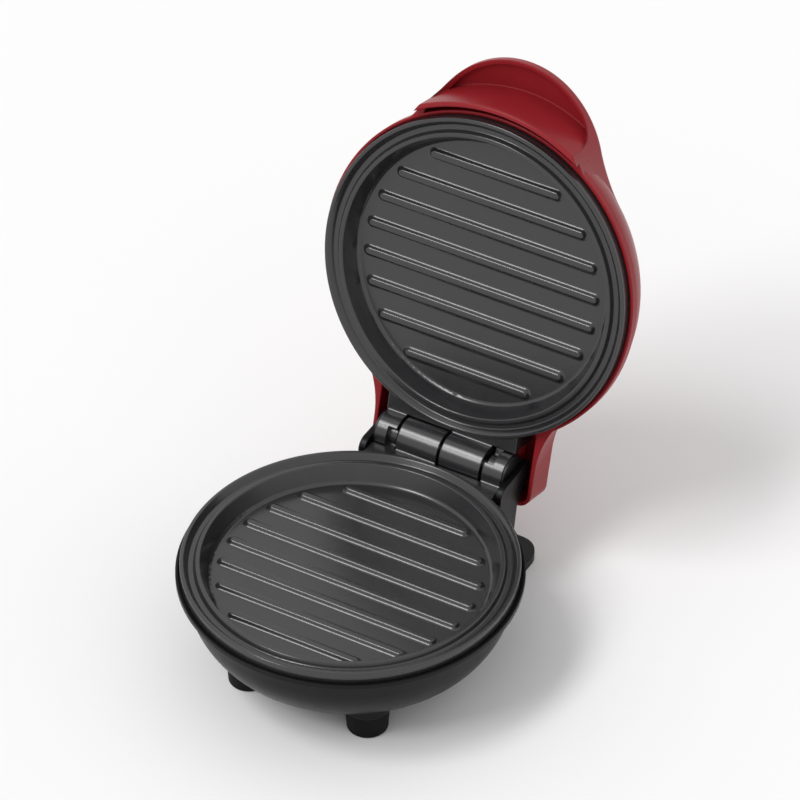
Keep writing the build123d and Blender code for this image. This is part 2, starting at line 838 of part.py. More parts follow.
# Terminal block on the floor of the housing
block_top = housing_floor + block_height
block_holes = [(-block_pole_spacing / 2, block_middle), (block_pole_spacing / 2, block_middle)]
with BuildPart() as terminal_block:
    with BuildSketch(Plane.XY.offset(housing_floor)):
        with Locations((0, block_middle)):
            Rectangle(block_length, block_depth)
    extrude(amount=block_height)
    with BuildSketch(Plane(origin=(0, -block_front, housing_floor + block_height / 2), z_dir=(0, 1, 0))):
        with Locations((-block_pole_spacing / 2, 0), (block_pole_spacing / 2, 0)):
            Circle(block_hole_radius)
    extrude(amount=block_depth, mode=Mode.SUBTRACT)
    with BuildSketch(Plane.XY.offset(housing_floor)):
        with Locations((0, block_middle)):
            Circle(small_screw_radius + screw_clearance)
    extrude(amount=block_height, mode=Mode.SUBTRACT)
    with BuildSketch(Plane.XY.offset(block_top)):
        with Locations((0, block_middle)):
            Circle(small_head_radius + counterbore_clearance)
    extrude(amount=-small_head_height, mode=Mode.SUBTRACT)
    with BuildSketch(Plane.XY.offset(block_top)):
        with Locations(*block_holes):
            Circle(clamp_screw_radius + screw_clearance)
    extrude(amount=-block_height / 2, mode=Mode.SUBTRACT)
finish(terminal_block, "terminal_block")

with BuildPart() as terminal_block_screw:
    with BuildSketch(Plane.XY.offset(block_top)):
        with Locations((0, block_middle)):
            Circle(small_head_radius)
    extrude(amount=-small_head_height)
    with BuildSketch(Plane.XY.offset(block_top)):
        with Locations((0, block_middle)):
            Circle(small_screw_radius)
    extrude(amount=-block_height - shell_wall)
finish(terminal_block_screw, "terminal_block_screw")

with BuildPart() as terminal_clamp_screws:
    with BuildSketch(Plane.XY.offset(block_top)):
        with Locations(*block_holes):
            Circle(clamp_screw_radius)
    extrude(amount=-clamp_screw_length)
finish(terminal_clamp_screws, "terminal_clamp_screws")

# Bush in the back wall, where the supply lead comes in
with BuildPart() as cord_gland:
    with BuildSketch(gland_plane):
        Circle(gland_flange_radius)
    extrude(amount=gland_flange_thickness)
    with BuildSketch(gland_plane):
        Circle(gland_body_radius)
    extrude(amount=-gland_boss_length - gland_flange_thickness)
    with BuildSketch(gland_plane.offset(-gland_boss_length)):
        Circle((gland_body_radius + gland_flange_radius) / 2)
    extrude(amount=-gland_flange_thickness)
    with BuildSketch(gland_plane.offset(gland_flange_thickness)):
        Circle(gland_bore)
    extrude(amount=-gland_boss_length - 2 * gland_flange_thickness, mode=Mode.SUBTRACT)
finish(cord_gland, "cord_gland")

# Hinge pin inside the knuckles, and the plugs that close the bore beside the ears
with BuildPart() as hinge_pin:
    pin_half_length = knuckle_outer_edge - plug_spigot - plug_clearance
    with BuildSketch(across(-pin_half_length)):
        with Locations((0, hinge_height)):
            Circle(pin_radius)
    extrude(amount=2 * pin_half_length)
finish(hinge_pin, "hinge_pin")

plug_from = knuckle_outer_edge + plug_clearance
plug_thickness = ear_inner - plug_clearance - plug_from
for side, plug_name in ((-1, "hinge_plug_left"), (1, "hinge_plug_right")):
    with BuildPart() as hinge_plug:
        with BuildSketch(across(side * plug_from)):
            with Locations((0, hinge_height)):
                Circle(plug_radius)
        extrude(amount=side * plug_thickness)
        with BuildSketch(across(side * plug_from)):
            with Locations((0, hinge_height)):
                Circle(pin_radius)
        extrude(amount=-side * (plug_spigot + plug_clearance))
    finish(hinge_plug, plug_name)


# Upper plate: the lower casting turned over, with two lugs for the lid's screws
with BuildPart() as upper_plate:
    add(turned_over(lower_plate.part))
    lug_bottom = hinge_height + closed_gap / 2 + tab_drop + tab_thickness / 2
    with BuildSketch(Plane.XY.offset(lug_bottom)):
        with Locations((-lug_x, -(lug_front + lug_rear) / 2), (lug_x, -(lug_front + lug_rear) / 2)):
            Rectangle(2 * lug_half_width, lug_front - lug_rear)
    extrude(amount=rim_height + lug_top - lug_bottom)
    lid_screw_places = [(-lug_x, lid_screw_height), (lug_x, lid_screw_height)]
    with BuildSketch(Plane(origin=(0, -lug_rear, hinge_height), x_dir=(-1, 0, 0), z_dir=(0, 1, 0))):
        with Locations(*lid_screw_places):
            Circle(lid_screw_radius + screw_clearance)
    extrude(amount=lug_rear - lug_front, mode=Mode.SUBTRACT)
write_lid_piece(upper_plate, "upper_plate")

# The upper plate's heating, the same pieces turned over
with BuildPart() as upper_element:
    add(turned_over(lower_element.part))
write_lid_piece(upper_element, "upper_element")

with BuildPart() as upper_element_terminals:
    add(turned_over(lower_element_terminals.part))
write_lid_piece(upper_element_terminals, "upper_element_terminals")

with BuildPart() as upper_heat_shield:
    add(turned_over(lower_heat_shield.part))
write_lid_piece(upper_heat_shield, "upper_heat_shield")

with BuildPart() as upper_shield_screws:
    with BuildSketch(level(shield_bottom)):
        with Locations(*foot_places):
            Circle(screw_head_radius)
    extrude(amount=-small_head_height)
    with BuildSketch(level(shield_bottom)):
        with Locations(*foot_places):
            Circle(screw_radius)
    extrude(amount=shield_screw_length)
    upper_shield_screws.part = turned_over(upper_shield_screws.part)
write_lid_piece(upper_shield_screws, "upper_shield_screws")


# Hinge cover of the lid: a block over the hinge, whose sides sweep out into the dome
with BuildPart() as cover_block:
    for height, inset in ((cover_edge, cover_low_inset), (cover_top, cover_high_inset)):
        blend_x = cover_half_width + cover_blend_radius
        to_blend = lip_radius - inset + cover_blend_radius
        blend_y = sqrt(to_blend**2 - blend_x**2) - hinge_setback
        share = (lip_radius - inset) / to_blend
        dome_x = blend_x * share
        dome_y = (blend_y + hinge_setback) * share - hinge_setback
        chord_x = (cover_half_width + dome_x) / 2 - blend_x
        chord_y = (blend_y + dome_y) / 2 - blend_y
        stretch = cover_blend_radius / sqrt(chord_x**2 + chord_y**2)
        between_x = blend_x + chord_x * stretch
        between_y = blend_y + chord_y * stretch
        with BuildSketch(Plane.XY.offset(rim_height + height)) as cover_plan:
            with BuildLine():
                Line((-dome_x, dome_y), (dome_x, dome_y))
                ThreePointArc((dome_x, dome_y), (between_x, between_y), (cover_half_width, blend_y))
                Polyline(
                    (cover_half_width, blend_y),
                    (cover_half_width, cover_rear),
                    (-cover_half_width, cover_rear),
                    (-cover_half_width, blend_y),
                )
                ThreePointArc((-cover_half_width, blend_y), (-between_x, between_y), (-dome_x, dome_y))
            make_face()
            fillet(cover_plan.vertices().group_by(Axis.Y)[-1], cover_corner_radius)
    loft(ruled=True)
    fillet(cover_block.faces().sort_by(Axis.Z)[-1].edges(), cover_edge_radius)

# Grip: a hood with a round nose, whose sides flare into the lid
crown_rise = (0, cos(radians(grip_slope)), sin(radians(grip_slope)))
nose_y = -hinge_setback - grip_centre - grip_radius
crown_axis_height = rim_height + grip_top - grip_crown_radius / cos(radians(grip_slope))
crown_plane = Plane(origin=(0, nose_y, crown_axis_height), x_dir=(-1, 0, 0), z_dir=crown_rise)
crown_reach = 2 * grip_radius
with BuildPart() as grip_block:
    to_nose = grip_radius + flare_radius
    for height, inset in ((grip_bottom, flare_low_inset), (dome_top, flare_high_inset)):
        flare_lid_radius = lip_radius - inset
        to_lid = flare_lid_radius + flare_radius
        flare_y = (to_nose**2 - to_lid**2 - grip_centre**2) / (2 * grip_centre)
        flare_x = sqrt(to_lid**2 - flare_y**2)
        lid_x = flare_x * flare_lid_radius / to_lid
        lid_y = flare_y * flare_lid_radius / to_lid
        side_x = flare_x * grip_radius / to_nose
        side_y = (flare_y + grip_centre) * grip_radius / to_nose - grip_centre
        chord_x = (lid_x + side_x) / 2 - flare_x
        chord_y = (lid_y + side_y) / 2 - flare_y
        to_chord = sqrt(chord_x**2 + chord_y**2)
        middle_x = flare_x + chord_x * flare_radius / to_chord
        middle_y = flare_y + chord_y * flare_radius / to_chord
        with BuildSketch(level(rim_height + height)):
            with BuildLine():
                Line((-lid_x, lid_y), (lid_x, lid_y))
                ThreePointArc((lid_x, lid_y), (middle_x, middle_y), (side_x, side_y))
                ThreePointArc((side_x, side_y), (0, -grip_centre - grip_radius), (-side_x, side_y))
                ThreePointArc((-side_x, side_y), (-middle_x, middle_y), (-lid_x, lid_y))
            make_face()
    loft(ruled=True)
    with BuildSketch(crown_plane.offset(-crown_reach)):
        Circle(grip_crown_radius)
    extrude(amount=3 * crown_reach, mode=Mode.INTERSECT)
    crown_faces = grip_block.faces().filter_by(GeomType.CYLINDER)
    crown_face = crown_faces.sort_by(lambda face: face.radius)[-1]
    fillet(crown_face.edges().sort_by(Axis.Y)[:3], grip_edge_radius)
    with BuildSketch(level(rim_height)):
        Circle(pocket_wall_radius - pocket_wall)
    extrude(amount=closed_gap + lip_below_rim, mode=Mode.SUBTRACT)

# Hollows of the grip: the finger pocket and the slot behind its back wall
with BuildPart() as grip_hollows:
    with BuildSketch(level(rim_height)):
        with Locations((0, -grip_centre)):
            Circle(grip_radius - grip_wall)
        Circle(pocket_wall_radius, mode=Mode.SUBTRACT)
    extrude(amount=dome_top)
    with BuildSketch(level(rim_height)):
        Circle(pocket_wall_radius - pocket_wall)
        Circle(lip_radius, mode=Mode.SUBTRACT)
        with Locations((0, -grip_centre)):
            Circle(grip_radius - grip_wall, mode=Mode.INTERSECT)
    extrude(amount=dome_top)
    with BuildSketch(crown_plane.offset(-crown_reach)):
        Circle(grip_crown_radius - grip_wall)
    extrude(amount=3 * crown_reach, mode=Mode.INTERSECT)

# Mouth of the grip, open to the front
with BuildPart() as grip_mouth:
    mouth_slope = (mouth_top_inset - mouth_bottom_inset) / mouth_height
    mouth_plane = Plane(origin=(0, nose_y - grip_wall, rim_height), x_dir=(-1, 0, 0), z_dir=(0, 1, 0))
    with BuildSketch(mouth_plane):
        low_half = grip_radius - mouth_bottom_inset + grip_bottom * mouth_slope
        high_half = low_half - dome_top * mouth_slope
        Polygon(
            (-low_half, 0),
            (low_half, 0),
            (high_half, dome_top),
            (-high_half, dome_top),
            align=None,
        )
    extrude(amount=2 * grip_radius)
    with BuildSketch(crown_plane.offset(-crown_reach)):
        Circle(grip_crown_radius - grip_wall - mouth_hem)
    extrude(amount=3 * crown_reach, mode=Mode.INTERSECT)
    mouth_ceiling = grip_mouth.faces().filter_by(GeomType.CYLINDER)[0]
    mouth_sides = mouth_ceiling.edges().group_by(Axis.X)
    fillet(mouth_sides[0] + mouth_sides[-1], mouth_corner_radius)
    with BuildSketch(level(rim_height)):
        Circle(pocket_wall_radius)
    extrude(amount=dome_top, mode=Mode.SUBTRACT)

# Lid shell: a revolved dome with the hinge cover and the grip, all hollow
with BuildPart() as lid_shell:
    lid_lip_bottom = rim_height + closed_gap + lip_below_rim
    lid_lip_top = lid_lip_bottom + lid_lip_height
    dome_foot = lid_lip_top + lid_lip_step
    dome_top_height = rim_height + dome_top
    dome_slope = tan(radians(dome_draft))
    dome_shoulder_radius = dome_side_radius - (dome_top_height - dome_foot) * dome_slope
    with BuildSketch(upright()) as dome_section:
        Polygon(
            (0, lid_lip_bottom),
            (lip_radius, lid_lip_bottom),
            (lip_radius, lid_lip_top),
            (dome_side_radius, dome_foot),
            (dome_shoulder_radius, dome_top_height),
            (0, dome_top_height),
            align=None,
        )
        dome_shoulder = (dome_shoulder_radius, dome_top_height)
        fillet(dome_section.vertices().sort_by_distance(dome_shoulder)[0], dome_corner_radius)
    revolve(axis=base_axis)
    add(cover_block.part)
    add(grip_block.part)

    # Inside of the dome, with the ledge that sits on the upper plate's flange
    dome_wall_across = shell_wall / cos(radians(dome_draft))
    lid_ledge = rim_height + closed_gap + flange_depth
    ledge_radius = dome_side_radius + (dome_foot - lid_ledge) * dome_slope - dome_wall_across
    inner_top = dome_top_height - shell_wall
    inner_shoulder_radius = dome_shoulder_radius + shell_wall * dome_slope - dome_wall_across
    with BuildSketch(upright()) as dome_hollow:
        Polygon(
            (0, rim_height),
            (lip_inner, rim_height),
            (lip_inner, lid_ledge),
            (ledge_radius, lid_ledge),
            (inner_shoulder_radius, inner_top),
            (0, inner_top),
            align=None,
        )
        inner_shoulder = (inner_shoulder_radius, inner_top)
        inner_corner_radius = dome_corner_radius - shell_wall
        fillet(dome_hollow.vertices().sort_by_distance(inner_shoulder)[0], inner_corner_radius)
    revolve(axis=base_axis, mode=Mode.SUBTRACT)
    with BuildSketch(Plane.XY.offset(rim_height)) as cover_hollow:
        with Locations((0, (cover_inner_rear - cover_front) / 2)):
            Rectangle(2 * (cover_half_width - cover_wall), cover_inner_rear + cover_front)
        fillet(cover_hollow.vertices().group_by(Axis.Y)[-1], cover_corner_radius - cover_wall)
    extrude(amount=cover_top - cover_wall, mode=Mode.SUBTRACT)
    add(grip_hollows.part, mode=Mode.SUBTRACT)
    add(grip_mouth.part, mode=Mode.SUBTRACT)

    # Rounded edges: below the pocket's back wall, and inside the mouth's hem
    pocket_edge_places = [
        (0, -hinge_setback - radius, rim_height + grip_bottom)
        for radius in (pocket_wall_radius - pocket_wall, pocket_wall_radius)
    ]
    pocket_edges = [lid_shell.edges().sort_by_distance(place)[0] for place in pocket_edge_places]
    fillet(pocket_edges, pocket_edge_radius)
    hem_drop = (grip_wall + mouth_hem) / cos(radians(grip_slope))
    hem_height = rim_height + grip_top + grip_wall * tan(radians(grip_slope)) - hem_drop
    hem_edge = lid_shell.edges().sort_by_distance((0, nose_y + grip_wall, hem_height))[0]
    fillet(hem_edge, mouth_edge_radius)

    # Posts for the screws into the upper plate's lugs
    lid_post_plane = Plane(origin=(0, -lug_rear, hinge_height), x_dir=(-1, 0, 0), z_dir=(0, 1, 0))
    lid_post_length = lug_rear + cover_rear
    head_depth = lid_screw_head_height + counterbore_clearance
    with BuildSketch(lid_post_plane):
        with Locations(*lid_screw_places):
            Circle(lid_post_radius)
    extrude(amount=lid_post_length - cover_wall / 2)
    with BuildSketch(lid_post_plane):
        with Locations(*lid_screw_places):
            Circle(lid_screw_radius + screw_clearance)
    extrude(amount=lid_post_length, mode=Mode.SUBTRACT)
    with BuildSketch(lid_post_plane.offset(lid_post_length)):
        with Locations(*lid_screw_places):
            Circle(lid_screw_head_radius + counterbore_clearance)
    extrude(amount=-head_depth, mode=Mode.SUBTRACT)

    # Hole for the pilot lamp's lens
    with BuildSketch(level(dome_top_height)):
        with Locations((0, -lens_setback)):
            Circle(lens_stem_radius + lens_clearance)
    extrude(amount=-shell_wall, mode=Mode.SUBTRACT)
write_lid_piece(lid_shell, "lid_shell")

with BuildPart() as lid_screws:
    with BuildSketch(lid_post_plane.offset(lid_post_length - head_depth)):
        with Locations(*lid_screw_places):
            Circle(lid_screw_head_radius)
    extrude(amount=lid_screw_head_height)
    with BuildSketch(lid_post_plane.offset(lid_post_length - head_depth)):
        with Locations(*lid_screw_places):
            Circle(lid_screw_radius)
    extrude(amount=-lid_post_length + head_depth - lug_front + lug_rear)
write_lid_piece(lid_screws, "lid_screws")

# Pilot lamp under its lens in the lid's top
lens_bottom = dome_top_height - shell_wall - lens_flange
with BuildPart() as indicator_lens:
    with BuildSketch(level(dome_top_height)):
        with Locations((0, -lens_setback)):
            Circle(lens_radius)
    extrude(amount=lens_flange)
    fillet(indicator_lens.edges().group_by(Axis.Z)[-1], lens_flange / 2)
    with BuildSketch(level(lens_bottom)):
        with Locations((0, -lens_setback)):
            Circle(lens_stem_radius)
    extrude(amount=dome_top_height - lens_bottom)
write_lid_piece(indicator_lens, "indicator_lens")

with BuildPart() as lamp_holder:
    with BuildSketch(level(inner_top)):
        with Locations((0, -lens_setback)):
            Circle(holder_radius)
            Circle(lamp_radius + lens_clearance, mode=Mode.SUBTRACT)
    extrude(amount=-holder_length)
    with BuildSketch(level(inner_top)):
        with Locations((0, -lens_setback)):
            Circle(lens_stem_radius + lens_clearance)
    extrude(amount=lens_bottom - inner_top, mode=Mode.SUBTRACT)
write_lid_piece(lamp_holder, "lamp_holder")

with BuildPart() as indicator_lamp:
    with BuildSketch(level(lens_bottom)):
        with Locations((0, -lens_setback)):
            Circle(lamp_radius)
    extrude(amount=-lamp_length)
write_lid_piece(indicator_lamp, "indicator_lamp")
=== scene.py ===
"""Dresses the stuffed waffle maker: finishes for its solids, finer screws and feet, and a plain studio."""

import json
import math

import bmesh
import bpy
from mathutils import Matrix, Vector


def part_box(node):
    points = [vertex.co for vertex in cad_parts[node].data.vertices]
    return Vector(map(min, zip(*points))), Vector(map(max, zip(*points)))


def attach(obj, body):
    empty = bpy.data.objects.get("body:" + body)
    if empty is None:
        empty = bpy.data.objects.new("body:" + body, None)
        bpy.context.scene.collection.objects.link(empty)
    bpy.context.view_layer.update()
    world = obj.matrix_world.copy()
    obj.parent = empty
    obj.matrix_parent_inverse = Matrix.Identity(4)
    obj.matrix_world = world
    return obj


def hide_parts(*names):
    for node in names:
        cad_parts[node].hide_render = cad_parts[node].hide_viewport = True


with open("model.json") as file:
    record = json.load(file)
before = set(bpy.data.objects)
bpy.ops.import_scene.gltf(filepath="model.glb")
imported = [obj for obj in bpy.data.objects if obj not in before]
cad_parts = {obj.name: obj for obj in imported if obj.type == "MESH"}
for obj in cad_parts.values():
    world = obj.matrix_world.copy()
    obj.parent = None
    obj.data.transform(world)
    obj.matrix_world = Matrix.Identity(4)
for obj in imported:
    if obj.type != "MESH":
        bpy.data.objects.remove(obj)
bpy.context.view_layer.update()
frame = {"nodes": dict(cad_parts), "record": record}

bl_info = {
    "name": "Stuffed waffle maker",
    "version": (1, 0, 0),
    "blender": (4, 5, 0),
    "location": "3D View > Sidebar > Cooker",
    "description": "Finishes, fine parts and studio for a stuffed waffle maker",
    "category": "Object",
}

MM = 0.001
SHARP_ANGLE = math.radians(32)  # steeper edges than this stay sharp on a grown piece


def hex_colour(code):
    """Linear colour, with full alpha, of an sRGB hex value."""
    shares = [int(code[place : place + 2], 16) / 255 for place in (1, 3, 5)]
    linear = [s / 12.92 if s <= 0.04045 else ((s + 0.055) / 1.055) ** 2.4 for s in shares]
    return (*linear, 1.0)


def add_node(tree, kind, inputs=None, **settings):
    """A node of a tree, with its settings, and with its inputs set or linked."""
    node = tree.nodes.new(kind)
    for name, value in settings.items():
        setattr(node, name, value)
    for socket, value in (inputs or {}).items():
        if isinstance(value, bpy.types.NodeSocket):
            tree.links.new(value, node.inputs[socket])
        else:
            node.inputs[socket].default_value = value
    return node


def new_surface(name, **shader_values):
    """A material with its tree, its shader and the object's own coordinates."""
    material = bpy.data.materials.new(name)
    material.use_nodes = True
    tree = material.node_tree
    shader = tree.nodes["Principled BSDF"]
    for socket, value in shader_values.items():
        shader.inputs[socket.replace("_", " ")].default_value = value
    place = add_node(tree, "ShaderNodeTexCoord").outputs["Object"]
    return material, tree, shader, place


def pattern_scale(size_mm):
    """Scale at which a texture's cells have a real size."""
    return 1000 / size_mm


def grain(tree, place, size_mm, detail=2.0):
    """Noise whose grains have a real size."""
    return add_node(
        tree, "ShaderNodeTexNoise", {"Vector": place, "Scale": pattern_scale(size_mm), "Detail": detail}
    ).outputs["Fac"]


def colour_drift(tree, shader, place, light, dark, patch_mm, detail=3.0):
    """Lets the colour wander between two near values, in patches of a real size."""
    ramp = add_node(tree, "ShaderNodeValToRGB", {"Fac": grain(tree, place, patch_mm, detail)})
    ramp.color_ramp.elements[0].position = 0.35
    ramp.color_ramp.elements[1].position = 0.65
    ramp.color_ramp.elements[0].color = dark
    ramp.color_ramp.elements[1].color = light
    tree.links.new(ramp.outputs["Color"], shader.inputs["Base Color"])
    return ramp


def roughness_drift(tree, shader, place, low, high, patch_mm):
    """Lets the gloss wander a little, as handling and moulding leave it."""
    noise = grain(tree, place, patch_mm, 4.0)
    spread = add_node(
        tree,
        "ShaderNodeMapRange",
        {"Value": noise, "From Min": 0.3, "From Max": 0.7, "To Min": low, "To Max": high},
    )
    tree.links.new(spread.outputs["Result"], shader.inputs["Roughness"])


def fine_bump(tree, shader, height, depth_mm, strength=1.0, edge_mm=0.0):
    """Turns a pattern into relief of a real depth, on edges that are eased by a real radius."""
    values = {"Height": height, "Distance": depth_mm * MM, "Strength": strength}
    if edge_mm:
        eased = add_node(tree, "ShaderNodeBevel", {"Radius": edge_mm * MM}, samples=8)
        values["Normal"] = eased.outputs["Normal"]
    bump = add_node(tree, "ShaderNodeBump", values)
    tree.links.new(bump.outputs["Normal"], shader.inputs["Normal"])


# The studio is white on all sides, and a room isn't: the plastics and rubbers mirror less of it than
# their IOR would give, by their specular level, so that their colour stays deep.


def glossy_abs(finish):
    """Injection-moulded ABS from a polished tool: deep colour under an even gloss."""
    material, tree, shader, place = new_surface("glossy_moulded_abs", IOR=1.5, Specular_IOR_Level=0.18)
    colour_drift(tree, shader, place, finish.lid_colour, finish.lid_deep_colour, 28.0)
    roughness_drift(tree, shader, place, finish.lid_roughness * 0.85, finish.lid_roughness * 1.2, 16.0)
    # flow waves, 6 mm long and 12 microns deep, which make its reflections swim a little
    fine_bump(tree, shader, grain(tree, place, 6.0), 0.012, 0.6, 0.9)
    return material


def satin_pbt(finish):
    """Glass-filled PBT from a spark-eroded tool: black, with a fine even grain and a soft sheen."""
    material, tree, shader, place = new_surface("satin_moulded_pbt", IOR=1.5, Specular_IOR_Level=0.16)
    colour_drift(tree, shader, place, finish.base_colour, finish.base_deep_colour, 9.0)
    roughness_drift(tree, shader, place, 0.30, 0.40, 12.0)
    # the real grain is about 0.15 mm; it is drawn three times as coarse so that it shows
    fine_bump(tree, shader, grain(tree, place, 0.45, 3.0), 0.010, 0.45, 0.7)
    return material


def coated_casting(finish):
    """Die-cast aluminium under a sprayed and baked non-stick coating: dark grey, with a soft glint."""
    material, tree, shader, place = new_surface("non_stick_coated_casting", IOR=1.62)
    colour_drift(tree, shader, place, finish.coating_colour, finish.coating_deep_colour, 1.2, 5.0)
    roughness_drift(tree, shader, place, 0.20, 0.24, 7.0)
    # orange peel of the spray, about 1 mm across and under a micron deep
    fine_bump(tree, shader, grain(tree, place, 0.9, 3.0), 0.0006, 0.4, 0.5)
    return material


def moulded_rubber(finish):
    """Compression-moulded rubber: nearly black, dull, with a fine bloom."""
    material, tree, shader, place = new_surface("moulded_rubber", IOR=1.5, Specular_IOR_Level=0.12)
    colour_drift(tree, shader, place, finish.rubber_colour, finish.rubber_deep_colour, 2.5)
    roughness_drift(tree, shader, place, 0.58, 0.75, 5.0)
    fine_bump(tree, shader, grain(tree, place, 0.5, 4.0), 0.02, 0.5)
    return material


def acetal_plug(finish):
    """Moulded black acetal plug: smooth, slightly waxy."""
    material, tree, shader, place = new_surface("moulded_black_acetal", IOR=1.48, Specular_IOR_Level=0.3)
    colour_drift(tree, shader, place, hex_colour("#141415"), hex_colour("#0c0c0d"), 3.0)
    roughness_drift(tree, shader, place, 0.32, 0.42, 4.0)
    return material


def zinc_plated_steel(finish):
    """Zinc-plated steel: pale, faintly blue, with the plating's fine cloudiness."""
    material, tree, shader, place = new_surface("zinc_plated_steel", Metallic=1.0)
    colour_drift(tree, shader, place, hex_colour("#c9ccd0"), hex_colour("#aeb3b8"), 1.5)
    roughness_drift(tree, shader, place, 0.24, 0.38, 1.0)
    return material


def ground_steel(finish):
    """Centreless-ground steel rod: bright, with marks that run round it."""
    material, tree, shader, place = new_surface("ground_steel", Metallic=1.0, Anisotropic=0.5)
    marks_scale = 800.0
    colour_drift(tree, shader, place, hex_colour("#c2c2c4"), hex_colour("#acacaf"), 2.0)
    roughness_drift(tree, shader, place, 0.20, 0.30, 1.0)
    rings = add_node(
        tree,
        "ShaderNodeTexWave",
        {"Vector": place, "Scale": marks_scale, "Distortion": 1.5, "Detail": 2.0},
        bands_direction="X",
    )
    fine_bump(tree, shader, rings.outputs["Fac"], 0.002, 0.6)
    return material


def aluminised_sheet(finish):
    """Rolled, hot-dip aluminised steel sheet: pale grey with faint spangle."""
    material, tree, shader, place = new_surface("aluminised_steel_sheet", Metallic=1.0)
    spangle_mm = 4.0
    cells = add_node(tree, "ShaderNodeTexVoronoi", {"Vector": place, "Scale": pattern_scale(spangle_mm)})
    ramp = add_node(tree, "ShaderNodeValToRGB", {"Fac": cells.outputs["Distance"]})
    ramp.color_ramp.elements[0].color = hex_colour("#bcbdbf")
    ramp.color_ramp.elements[1].color = hex_colour("#a6a8ab")
    tree.links.new(ramp.outputs["Color"], shader.inputs["Base Color"])
    roughness_drift(tree, shader, place, 0.34, 0.48, 3.0)
    return material


def heat_tinted_sheath(finish):
    """Drawn steel tube that has glowed: straw to blue-grey tints along a dull sheath."""
    material, tree, shader, place = new_surface("heat_tinted_steel_tube", Metallic=0.9)
    ramp = colour_drift(tree, shader, place, hex_colour("#7d6f62"), hex_colour("#4f4f57"), 14.0)
    tint = ramp.color_ramp.elements.new(0.5)
    tint.color = hex_colour("#6a5d66")
    roughness_drift(tree, shader, place, 0.42, 0.58, 2.0)
    fine_bump(tree, shader, grain(tree, place, 0.4, 3.0), 0.01, 0.4)
    return material


def nickel_plated_strip(finish):
    """Nickel-plated terminal strip: warm, bright."""
    material, tree, shader, place = new_surface("nickel_plated_strip", Metallic=1.0)
    colour_drift(tree, shader, place, hex_colour("#cfc9bd"), hex_colour("#b9b3a8"), 1.2)
    roughness_drift(tree, shader, place, 0.20, 0.32, 0.8)
    return material


def phenolic_moulding(finish):
    """Compression-moulded phenolic: brown-black, hard, half dull, with a mottled fill."""
    material, tree, shader, place = new_surface("phenolic_moulding", IOR=1.6)
    colour_drift(tree, shader, place, hex_colour("#2b2320"), hex_colour("#1b1614"), 1.0, 5.0)
    roughness_drift(tree, shader, place, 0.36, 0.50, 2.0)
    return material


def glass_fibre_braid(finish):
    """Braided glass-fibre sleeve: cream, dull, with crossing strands 0.6 mm wide."""
    material, tree, shader, place = new_surface("braided_glass_fibre", Roughness=0.85, Sheen_Weight=0.2)
    colour_drift(tree, shader, place, hex_colour("#e6e0d0"), hex_colour("#cfc6b0"), 0.8)
    strand_scale = 80.0
    strands = []
    for slant in (math.radians(45), math.radians(-45)):
        turned = add_node(tree, "ShaderNodeMapping", {"Vector": place, "Rotation": (0.0, 0.0, slant)})
        bands = {"Vector": turned.outputs["Vector"], "Scale": strand_scale}
        wave = add_node(tree, "ShaderNodeTexWave", bands, bands_direction="X")
        strands.append(wave.outputs["Fac"])
    weave = add_node(tree, "ShaderNodeMath", {0: strands[0], 1: strands[1]}, operation="MAXIMUM")
    fine_bump(tree, shader, weave.outputs["Value"], 0.10, 0.8)
    return material


def urea_moulding(finish):
    """Urea moulding of a terminal block: ivory, slightly translucent, half dull."""
    material, tree, shader, place = new_surface("urea_moulding", IOR=1.55)
    colour_drift(tree, shader, place, hex_colour("#e4dfd0"), hex_colour("#d6cfbc"), 3.0)
    roughness_drift(tree, shader, place, 0.34, 0.46, 3.0)
    return material


def clear_red_lens(finish):
    """Clear red polycarbonate lens: light passes through it, under a gloss that drifts a little."""
    material, tree, shader, place = new_surface(
        "clear_red_polycarbonate", IOR=1.58, Transmission_Weight=0.65, Coat_Weight=0.2
    )
    colour_drift(tree, shader, place, finish.lens_colour, finish.lens_deep_colour, 2.0)
    roughness_drift(tree, shader, place, 0.10, 0.16, 1.5)
    return material


def lamp_glass(finish):
    """Blown glass envelope of a small lamp: clear, faintly amber."""
    material, tree, shader, place = new_surface(
        "lamp_glass", IOR=1.5, Transmission_Weight=0.9, Roughness=0.04
    )
    colour_drift(tree, shader, place, hex_colour("#f6e7cf"), hex_colour("#efdcbc"), 2.0)
    return material


SURFACES = {
    "base_plastic": satin_pbt,
    "cooking_plate": coated_casting,
    "foot_rubber": moulded_rubber,
    "screw_steel": zinc_plated_steel,
    "element_sheath": heat_tinted_sheath,
    "terminal_steel": nickel_plated_strip,
    "shield_steel": aluminised_sheet,
    "thermostat_body": phenolic_moulding,
    "fuse_case": nickel_plated_strip,
    "fibre_sleeve": glass_fibre_braid,
    "block_plastic": urea_moulding,
    "gland_rubber": moulded_rubber,
    "pin_steel": ground_steel,
    "plug_plastic": acetal_plug,
    "lid_plastic": glossy_abs,
    "lens_plastic": clear_red_lens,
    "holder_plastic": urea_moulding,
    "lamp_glass": lamp_glass,
}
made_surfaces = {}


def surface_of(slot):
    """The material of a slot of the record, made once."""
    make = SURFACES[slot]
    if make not in made_surfaces:
        made_surfaces[make] = make(bpy.context.scene.cooker_finish)
    return made_surfaces[make]


def slot_of(node):
    """The record's material slot of a solid."""
    return next(row["material_slot"] for row in frame["record"]["subparts"] if row["node"] == node)


def dress(*nodes):
    """Gives solids of the frame the material of their slot."""
    for name in nodes:
        solid = frame["nodes"][name]
        material = surface_of(slot_of(name))
        if not solid.data.materials:
            solid.data.materials.append(material)
        for place in range(len(solid.material_slots)):
            solid.material_slots[place].material = material


